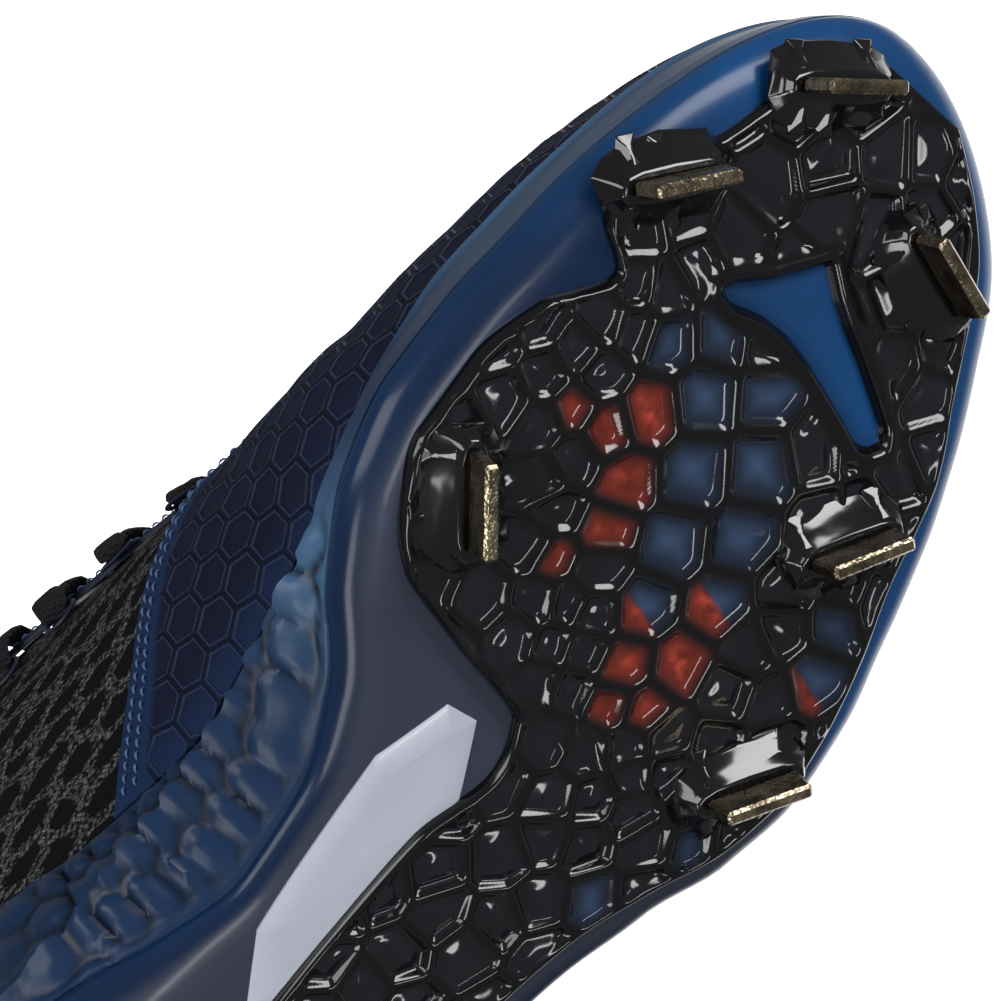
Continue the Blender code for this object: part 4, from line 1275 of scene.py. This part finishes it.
class CLEAT_OT_rand(CleatStep):
    """Make the sculpted rand around the foot"""
    bl_idname = "cleat.rand"
    bl_label = "Rand"

    def make(self, context):
        form = self.form
        s = np.arange(0, RING, 0.12)[:, None]
        t = np.linspace(0, 1, 38)[None, :]
        split = 0.35
        above = np.clip((t - split) / (1 - split), 0, 1)
        foot = form.edge_point(s[:, 0], False, 0.0, form.parting)[:, None, :]
        foot = foot + np.array([0, 0, SEAT_GAP])
        top = form.rand_top(s[:, 0])[:, None]
        v = top * above
        thick = self.size.rand_foot * 0.8
        grade = between(thick, RAND_LIP, above ** 0.8)
        along = station(s)
        bead = ease(*BEAD_START, along) * RAND_BEAD * np.exp(-((t - 0.90) / 0.07) ** 2)
        wall = form.skin(s, v, GAP + grade + bead)
        shoulder = form.skin(s, 0.0, GAP + thick)
        rise = (t / split)[..., None]
        base = foot * (1 - rise) + shoulder * rise
        outer = np.where((t < split)[..., None], base, wall)
        tangent = np.linalg.norm(np.diff(outer, axis=1, prepend=outer[:, :1]), axis=-1)
        climb = np.cumsum(tangent, axis=1)
        run = np.cumsum(np.linalg.norm(np.diff(foot[:, 0], axis=0, prepend=foot[:1, 0]),
                                       axis=-1))[:, None]
        squeeze = 1 + 0.75 * ease(*CROWD_START, along) * ease(*CROWD_END, along)
        border = hex_border(run * squeeze / RAND_PITCH, climb / RAND_PITCH + 0.25)
        fade = ease(0.0, 0.10, t) * ease(1.0, 0.90, t)
        fade = fade * ease(*PILLOW_START, along) * ease(*PILLOW_END, along) * (side(s) < 0)
        pillow = ease(0.02, 0.30, border)
        normal = form.normal(s, np.clip(v, 0.05, 0.95))
        outer = outer + normal * ((pillow - 0.55) * fade * RAND_PILLOW)[..., None]
        seat = form.skin(s, 0.0, GAP)
        inner_foot = form.edge_point(s[:, 0], False, self.size.rand_foot - SEAT_GAP,
                                     form.parting)[:, None, :] + np.array([0, 0, SEAT_GAP])
        inner_base = inner_foot * (1 - rise) + seat * rise
        inner = np.where((t < split)[..., None], inner_base, form.skin(s, v, GAP))
        # Painted highlight on the rand: a lighter patch on the inner side near the ball and a
        # band towards the toe, strongest near the rand's top edge
        painted_highlight = (0.85 * np.exp(-((along - HIGHLIGHT_PLACE) / 0.045) ** 2) * (side(s) < 0)
                  + ease(*HIGHLIGHT_TOE, along) * (0.35 + 0.5 * ease(0.7, 0.95, t)))
        # cell drops in the grooves between the pillows, where the shader paints shade
        cell = 1 - (1 - ease(0.0, 0.12, border)) * fade
        self.add("rand_shell", shell(outer, inner, True), rand_look(self.colours), "sidewall",
                 {"cell": on_both(cell, 1.0), "painted_highlight": on_both(painted_highlight, 0.3)})


class CLEAT_OT_upper(CleatStep):
    """Make the knit upper with its padded collar"""
    bl_idname = "cleat.upper"
    bl_label = "Upper"

    def make(self, context):
        form = self.form
        s = np.arange(0, RING, 0.24)[:, None]
        v = 1 - (1 - np.linspace(0, 1, 64)[None, :]) ** 1.35
        length = form.rib_length(s[:, 0])[:, None]
        along = station(s)
        open_top = (along < THROAT_FRONT).astype(float)
        pad = COLLAR_PAD * ease(*COLLAR_PAD_END, along) * ease(0.030, 0.010, (1 - v) * length)
        wall = self.size.upper_wall
        turn_in = np.clip(1 - (1 - v) * length / (wall + pad), 0, 1) * open_top
        round_off = np.sqrt(np.maximum(1 - turn_in ** 2, 0.0))
        middle = -wall / 2 - pad * 0.35
        half = (wall + pad) / 2 * round_off
        outer = form.skin(s, v, middle + half)
        inner = form.skin(s, v, middle - half)
        climb = v * length
        run = outer[..., 0]
        shut = (along[:, 0] >= THROAT_FRONT).tolist()
        dense = np.maximum(ease(0.62, 0.85, v) * (along > DENSE_KNIT_START), ease(0.90, 0.97, v))
        self.add("knit_upper", shell(outer, inner, True, shut), knit_look(self.colours),
                 "upper", {"run": on_both(run, run), "climb": on_both(climb, climb),
                           "dense": on_both(dense, 1.0)})


class CLEAT_OT_guard(CleatStep):
    """Make the embossed skin over the toe, with its stitched rear edge"""
    bl_idname = "cleat.guard"
    bl_label = "Guard"

    def limits(self, s):
        """The v of the skin's lower and upper edges, and the rib's length."""
        length = self.form.rib_length(s)
        low = self.form.rand_top(s) + GUARD_CLEAR / length
        high = self.form.stay_edge(s)
        return low, np.where(high < 1, high - STAY_GAP / length, high), length

    def edge_spots(self, share, ahead):
        """Places on the skin's rear edge, moved ahead by a length."""
        form = self.form
        s = ring_place(between(*GUARD_MEDIAL, share) + ahead / self.size.shoe_length, -1)
        low, high, _ = self.limits(s)
        v = between(low, high, share)
        out = SKIN_GAP + GUARD_THICKNESS + 1.5 * THREAD_LIFT
        return form.skin(s, v, out), form.normal(s, v)

    def make(self, context):
        form = self.form
        rows = 100
        share = np.linspace(0, 1, rows)[None, :]
        first = between(*GUARD_MEDIAL, share)
        last = between(*GUARD_LATERAL, share)
        meet = ring_place(GUARD_MEET, -1)
        near = np.linspace(0, 1, 150)[:, None]
        start = ring_place(first, -1)
        end = ring_place(last, 1)
        middle = np.arange(meet, RING - meet + 0.01, (RING - 2 * meet) / 170)[:, None]
        far = np.linspace(0, 1, 40)[:, None]
        s = np.concatenate([
            start * (1 - near) + meet * near,
            np.broadcast_to(middle, (len(middle), rows)),
            (RING - meet) * (1 - far) + end * far,
        ])
        low, high, length = self.limits(s)
        v = between(low, high, share)
        base = form.skin(s, v, 0.0)
        run = base[..., 0]
        climb = v * length
        border = hex_border(*guard_lattice(run, climb))
        behind = (station(s) - first) * self.size.shoe_length
        band = np.where(s < RING / 2, ease(GUARD_BAND, GUARD_BAND - 0.002, behind), 0.0)
        relief = -GUARD_GROOVE * ease(0.08, 0.14, border) * (1 - band)
        outer = form.skin(s, v, SKIN_GAP + GUARD_THICKNESS + relief)
        inner = form.skin(s, v, SKIN_GAP)
        shut = (high[:, -1] >= 1).tolist()
        low_edge = ease(0.14, 0.0, share) * ease(*GUARD_BLUE_END, station(s))
        blue = np.maximum(band * 0.9, 0.8 * low_edge)
        twice = {"run": run, "climb": climb, "band": band, "blue": blue}
        marks = {key: on_both(value, value) for key, value in twice.items()}
        self.add("guard_skin", shell(outer, inner, False, shut), guard_look(self.colours),
                 "guard", marks)
        share = np.linspace(0.02, 0.98, 200)
        seams = [stitch_run(*self.edge_spots(share, ahead), GUARD_STITCH)
                 for ahead in GUARD_SEAMS]
        self.add("guard_stitches", join_parts(seams), thread_look(self.colours), "guard",
                 extra=True)


class CLEAT_OT_lacing(CleatStep):
    """Make the eyestay, its eyelets and stitches, and the lace"""
    bl_idname = "cleat.lacing"
    bl_label = "Eyestay and lace"

    def make(self, context):
        form = self.form
        back = ring_place(CORNER_ALONG + 0.01, -1)
        tip = ring_place(THROAT_FRONT + 0.92 * STAY_REACH / self.size.shoe_length, -1)
        place = np.linspace(back, tip, 120)
        parts = []
        seams = []
        for which in (-1, 1):
            s = (place if which < 0 else RING - place)[:, None]
            low = form.stay_edge(s)
            share = np.linspace(0, 1, 16)[None, :]
            v = between(low, 1, share)
            rounding = np.sqrt(np.maximum(1 - (1 - np.clip(share / 0.12, 0, 1)) ** 2, 0.15))
            outer = form.skin(s, v, SKIN_GAP + STAY_THICKNESS * rounding)
            inner = form.skin(s, v, SKIN_GAP)
            parts.append(shell(outer, inner, False, (station(s[:, 0]) >= THROAT_FRONT).tolist()))
            seam_v = between(low[:, 0], 1, 0.12)
            path = form.skin(s[:, 0], seam_v, SKIN_GAP + STAY_THICKNESS + THREAD_LIFT)
            seams.append(stitch_run(path, form.normal(s[:, 0], seam_v), STAY_STITCH))
        self.add("eyestay_band", join_parts(parts), film_look(self.colours), "eyestay")
        self.add("eyestay_stitches", join_parts(seams), thread_look(self.colours), "eyestay",
                 extra=True)
        self.make_lace()

    def make_lace(self):
        form = self.form
        spots = np.linspace(LACE_FRONT, LACE_BACK, EYELET_PAIRS)
        runs = [(spots[0], spots[0], -1)]
        for first_side in (-1, 1):
            which = first_side
            for start, end in zip(spots, spots[1:]):
                runs.append((start, end, which))
                which = -which
        lift = SKIN_GAP + STAY_THICKNESS + LACE_GAP * 0.7 + LACE_HEIGHT / 2
        parts = []
        rims = []
        for number, (start, end, which) in enumerate(runs):
            share = np.linspace(0, 1, 33)
            along = between(start, end, share)
            wide = form.top_half(ring_place(along, 1)) + LACE_INSET
            reach = which * wide * (1 - 2 * share)
            rise = np.sin(pi * np.clip(share / 0.12, 0, 0.5))
            fall = np.sin(pi * np.clip((1 - share) / 0.12, 0, 0.5))
            dip = LACE_GAP * 0.6 * (1 - rise * fall)
            over = 0.0007 * np.cos(2 * pi * share) * (number % 2)
            middle = form.tongue_point(along, reach, lift - dip + over * (dip == 0))
            up = middle - form.tongue_point(along, reach, 0.0)
            parts.append(strand(middle, unit(up), LACE_WIDTH, LACE_HEIGHT * 0.7))
            for n in (0, -1):
                spot = form.tongue_point(along[[n]], reach[[n]],
                                         SKIN_GAP + STAY_THICKNESS + THREAD_LIFT)[0]
                rims.append(rim_ring(spot, up[n]))
        self.add("lace_strands", join_parts(parts),
                 cloth_look(self.colours, "woven_lace", 0.0009, 1.8), "lace")
        self.add("eyelet_rims", join_parts(rims), film_look(self.colours), "eyestay",
                 extra=True)


class CLEAT_OT_lining(CleatStep):
    """Make the padded tongue and the sock that the foot stands on"""
    bl_idname = "cleat.lining"
    bl_label = "Tongue and insole"

    def make(self, context):
        form = self.form
        size = self.size
        front = THROAT_FRONT + 0.03
        back = CORNER_ALONG + 0.012
        share = np.linspace(0, 1.33, 60)[:, None]
        across = np.sin(np.linspace(-pi / 2, pi / 2, 33))[None, :]
        along = between(front, back, np.minimum(share, 1.0))
        past = np.maximum(share - 1, 0) / 0.33
        half = form.top_half(ring_place(along, 1))
        tuck = np.minimum((along - back) / TONGUE_TAPER, 1.0)
        wide = TONGUE_HALF * tuck + (half - TONGUE_GAP) * (1 - tuck)
        reach = wide * across
        edge = np.sqrt(np.maximum(1 - np.abs(across) ** 5, 0.0))
        ends = np.sqrt(np.maximum(1 - (share / 1.33 * 2 - 1) ** 8, 0.0))
        quilt = 1 - 0.16 * np.exp(-((np.mod(share * 9, 1) - 0.5) / 0.09) ** 2)
        half_thick = TONGUE_THICKNESS / 2 * edge * ends * quilt
        middle = -(size.upper_wall + TONGUE_GAP + TONGUE_THICKNESS / 2)
        shift = (np.array([-0.85, 0.0, 0.35])
                 + np.array([0.0, 0.0, 0.35]) * past[..., None]) * TONGUE_TOP * past[..., None]
        outer = form.tongue_point(along, reach, middle + half_thick) + shift
        inner = form.tongue_point(along, reach, middle - half_thick) + shift
        tongue = self.add("padded_tongue", shell(outer, inner, False),
                          cloth_look(self.colours, "padded_mesh", 0.0016), "tongue")
        self.make_insole()

    def make_insole(self):
        form = self.form
        size = self.size
        s = np.arange(0, RING, 0.4)
        inset = size.upper_wall + SIDE_GAP

        def at(rise):
            return lambda along: form.seat(along) + (GAP + INSOLE_THICKNESS * rise)

        grid = np.stack([form.edge_point(s, True, inset + shrink, at(rise))
                         for shrink, rise in INSOLE_PROFILE], axis=1)
        self.add("sock_liner", tube(grid, fill_ring),
                 cloth_look(self.colours, "sock_cloth", 0.0012, 3.0), "insole")


def soften(field):
    """A grid of values, each averaged with its neighbours."""
    for axis in (0, 1):
        before = np.roll(field, 1, axis)
        after = np.roll(field, -1, axis)
        mean = 0.5 * field + 0.25 * (before + after)
        ends = np.moveaxis(mean, axis, 0)
        ends[0] = np.moveaxis(field, axis, 0)[0]
        ends[-1] = np.moveaxis(field, axis, 0)[-1]
        field = mean
    return field


def window_corners(form):
    return np.array([on_plate(form, spot) for spot in WINDOW])


def window_depth(corners, x, y):
    """Signed distance inside the window, in metres."""
    inside = np.zeros(x.shape, bool)
    distance = np.full(x.shape, np.inf)
    for a, b in zip(corners, np.roll(corners, -1, axis=0)):
        edge = b - a
        t = np.clip(((x - a[0]) * edge[0] + (y - a[1]) * edge[1]) / (edge @ edge), 0, 1)
        distance = np.minimum(distance, np.hypot(x - a[0] - t * edge[0],
                                                 y - a[1] - t * edge[1]))
        crosses = (a[1] > y) != (b[1] > y)
        slope = (b[0] - a[0]) * (y - a[1]) / np.where(crosses, b[1] - a[1], 1) + a[0]
        inside ^= crosses & (x < slope)
    return np.where(inside, distance, -distance)


class CLEAT_OT_plate(CleatStep):
    """Make the moulded plate with its cells, window and pedestals"""
    bl_idname = "cleat.plate"
    bl_label = "Plate"

    def all_cells(self):
        """The charted cells, then loose rows of others where those leave room."""
        charted = [(*on_plate(self.form, cell), cell.tone) for cell in CELLS]
        cells = list(charted)
        dice = np.random.default_rng(5)
        pitch = FILL_CELL_PITCH
        for row in range(44):
            for column in range(-10, 11):
                x = 0.004 + row * pitch * 0.866 + dice.uniform(-0.1, 0.1) * pitch
                y = (column + (row % 2) / 2 + dice.uniform(-0.1, 0.1)) * pitch
                nearest = min(np.hypot(x - cell[0], y - cell[1]) for cell in charted)
                if nearest > FILL_CELL_CLEAR:
                    cells.append((x, y, 0))
        return cells

    def make(self, context):
        form = self.form
        size = self.size
        along = np.concatenate([np.linspace(PLATE[0].along, PLATE_FINE_FROM, 91)[:-1],
                                np.linspace(PLATE_FINE_FROM, PLATE[-1].along, 440)])[:, None]
        across = np.linspace(0, 1, 182)[None, :]
        left = smooth(PLATE, "left", along) * size.ball_width
        right = smooth(PLATE, "right", along) * size.ball_width
        x = along * size.shoe_length + 0 * across
        y = between(left, right, across)

        cells = self.all_cells()
        centre = np.array([(a, b) for a, b, _ in cells])
        tone = np.array([t for _, _, t in cells])
        distance = np.hypot(x[..., None] - centre[:, 0], y[..., None] - centre[:, 1])
        order = np.argpartition(distance, 6, axis=-1)[..., :7]
        near = np.take_along_axis(distance, order, axis=-1)
        sort = np.argsort(near, axis=-1)
        order = np.take_along_axis(order, sort, axis=-1)
        near = np.take_along_axis(near, sort, axis=-1)
        first = centre[order[..., 0]]
        inside = np.full(x.shape, 1.0)
        for n in range(1, 7):
            apart = np.linalg.norm(centre[order[..., n]] - first, axis=-1)
            inside = np.minimum(inside, (near[..., n] ** 2 - near[..., 0] ** 2) / (2 * apart))
        kind = tone[order[..., 0]]
        rim = np.minimum(y - left, right - y)
        rim = np.minimum(rim, np.minimum(x - x[0, 0], x[-1, 0] - x) + 0.0004)
        rib = np.where(kind > 0, RIB_COLOURED, RIB_SMOKY)
        cup = ease(rib * 0.5, rib * 1.7, inside) * ease(0.0010, 0.0028, rim)
        dome = ease(rib * 1.2, rib * 5.0, inside)
        window = window_depth(window_corners(form), x, y)
        cup = cup * (1 - ease(-0.0042, -0.0026, window))
        number = order[..., 0]
        off_x = x - first[..., 0]
        off_y = y - first[..., 1]
        wander = 0.5 + 0.5 * np.sin(number * 2.4)
        tip = off_x * np.sin(number) + off_y * np.cos(number * 1.7)
        film = np.where(kind > 0, 0.35, 1.0)
        depth = size.plate_thickness * (1.0 - (0.50 + 0.20 * wander) * cup
                                        + film * (0.25 + 0.30 * wander) * dome * cup)
        depth = depth + film * 0.10 * np.clip(tip, -0.004, 0.004) * cup
        edge = np.clip(rim / 0.0013, 0, 1)
        depth = depth * (0.25 + 0.75 * np.sqrt(1 - (1 - edge) ** 2))
        open_share = ease(-0.0003, 0.0006, window)
        lip = 0.0005 * np.exp(-((window + WINDOW_LAP) / 0.0007) ** 2)
        depth = soften(soften((depth + lip) * (1 - open_share) - 0.0005 * open_share))
        level = form.ground(along) - GAP
        bottom = np.stack([x, y, level - depth], axis=-1)
        points, faces = self.close_back(bottom, level + PLATE_BACK)

        low_half = off_x * 0.8 + off_y * 0.2 < -0.0004
        blue = cup * ((kind == 1) | ((kind == 3) & ~low_half))
        red = cup * ((kind == 2) | ((kind == 3) & low_half))
        spare = np.zeros(len(points) - blue.size)
        marks = {key: np.concatenate([soften(value).ravel(), spare]) for key, value in
                 {"inside": cup, "dome": dome, "blue": blue, "red": red}.items()}
        self.add("plate_cells", (points, faces), plate_look(self.colours), "outsole_plate",
                 marks)
        self.make_pedestals()

    def close_back(self, bottom, level):
        """Skirt and plain back for a face given as a grid."""
        columns, rows = bottom.shape[:2]
        back = bottom.copy()
        back[..., 2] = level
        index = np.arange(columns * rows).reshape(columns, rows)
        loop = np.concatenate([index[0, :-1], index[:-1, -1], index[-1, :0:-1],
                               index[:0:-1, 0]])
        start = columns * rows
        place = {vertex: start + n for n, vertex in enumerate(loop.tolist())}
        faces = grid_faces(columns, rows, False)
        for a, b in zip(loop.tolist(), np.roll(loop, -1).tolist()):
            faces.append((a, b, place[b], place[a]))
        for c in range(1, columns - 2):
            corners = (index[c, 0], index[c + 1, 0], index[c + 1, -1], index[c, -1])
            faces.append(tuple(place[int(n)] for n in corners))
        for end, beside in ((0, 1), (columns - 1, columns - 2)):
            corners = [*index[end].tolist(), int(index[beside, -1]), int(index[beside, 0])]
            faces.append(tuple(place[n] for n in corners))
        return np.concatenate([bottom.reshape(-1, 3), back.reshape(-1, 3)[loop]]), faces

    def make_pedestals(self):
        """Faceted blocks that carry the blades, with fins on their flanks."""
        look = pedestal_look(self.colours)
        dice = np.random.default_rng(11)
        sides = PEDESTAL_SIDES
        angle = (np.arange(sides) + 0.5) * 2 * pi / sides
        for number, stud in enumerate(STUDS, 1):
            place, turn = self.form.stud_frame(stud)
            base = self.size.plate_thickness * 0.5
            top = self.size.plate_thickness + PEDESTAL_HEIGHT
            rings = []
            for level in PEDESTAL:
                sway = 1 + (0 if level.from_end else dice.uniform(-0.07, 0.07, sides))
                run, across = boxy_ring(angle, level.length, level.width)
                drop = (top if level.from_end else base) + level.drop
                rings.append(np.stack([run * sway, across * sway, np.full(sides, -drop)],
                                      axis=-1))
            parts = [tube(np.stack(rings, axis=1))]
            for reach in FIN_PLACES:
                for way in (-1, 1):
                    parts.append(self.fin(reach + dice.uniform(-0.0010, 0.0010), way,
                                          dice.uniform(0.0066, 0.0082), base, top))
            points, faces = join_parts(parts)
            piece = self.add(f"pedestal_{number}", (place + points @ turn.T, faces), look,
                             "outsole_plate", extra=True, crease=20)
            bevel = piece.modifiers.new("soft_edges", "BEVEL")
            bevel.width = BEVEL_WIDTH
            bevel.segments = 2
            bevel.limit_method = "ANGLE"
            bevel.angle_limit = radians(20)

    def fin(self, reach, way, out, base, top):
        """Wedge that leans from the plate against a pedestal's flank."""
        wide = 0.0027
        foot = [(reach - wide, way * 0.003, -base), (reach + wide, way * 0.003, -base),
                (reach + wide * 0.7, way * out, -base - 0.0003),
                (reach - wide * 0.7, way * out, -base - 0.0003)]
        crest = [(reach - wide * 0.35, way * 0.0026, -top + 0.0006),
                 (reach + wide * 0.35, way * 0.0026, -top + 0.0006),
                 (reach, way * out * 0.72, -base - 0.0017)]
        faces = [(0, 1, 2, 3), (0, 1, 5, 4), (1, 2, 6, 5), (3, 0, 4, 6), (2, 3, 6), (4, 5, 6)]
        return np.array(foot + crest), faces


class CLEAT_OT_blades(CleatStep):
    """Give the steel blades their finish"""
    bl_idname = "cleat.blades"
    bl_label = "Blades"

    def make(self, context):
        look = steel_look(self.colours)
        for number in range(1, len(STUDS) + 1):
            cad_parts[f"blade_{number}"].material_slots[0].material = look


class CLEAT_PT_panel(bpy.types.Panel):
    """Lists the steps and the sizes in the sidebar"""
    bl_label = "Cleat"
    bl_idname = "CLEAT_PT_panel"
    bl_space_type = "VIEW_3D"
    bl_region_type = "UI"
    bl_category = "Cleat"

    def draw(self, context):
        for step in STEPS:
            self.layout.operator(step.bl_idname)
        for group in (context.scene.cleat_sizes, context.scene.cleat_colours):
            for key in group.bl_rna.properties.keys():
                if key not in {"rna_type", "name"}:
                    self.layout.prop(group, key)


STEPS = (
    CLEAT_OT_stage,
    CLEAT_OT_carrier,
    CLEAT_OT_rand,
    CLEAT_OT_upper,
    CLEAT_OT_guard,
    CLEAT_OT_lacing,
    CLEAT_OT_lining,
    CLEAT_OT_plate,
    CLEAT_OT_blades,
)
CLASSES = (CleatSizes, CleatColours, *STEPS, CLEAT_PT_panel)


def register():
    for cls in CLASSES:
        bpy.utils.register_class(cls)
    bpy.types.Scene.cleat_sizes = bpy.props.PointerProperty(type=CleatSizes)
    bpy.types.Scene.cleat_colours = bpy.props.PointerProperty(type=CleatColours)


def unregister():
    del bpy.types.Scene.cleat_colours
    del bpy.types.Scene.cleat_sizes
    for cls in reversed(CLASSES):
        bpy.utils.unregister_class(cls)


def main():
    register()
    for step in STEPS:
        group, name = step.bl_idname.split(".")
        getattr(getattr(bpy.ops, group), name)()


if __name__ == "__main__":
    main()
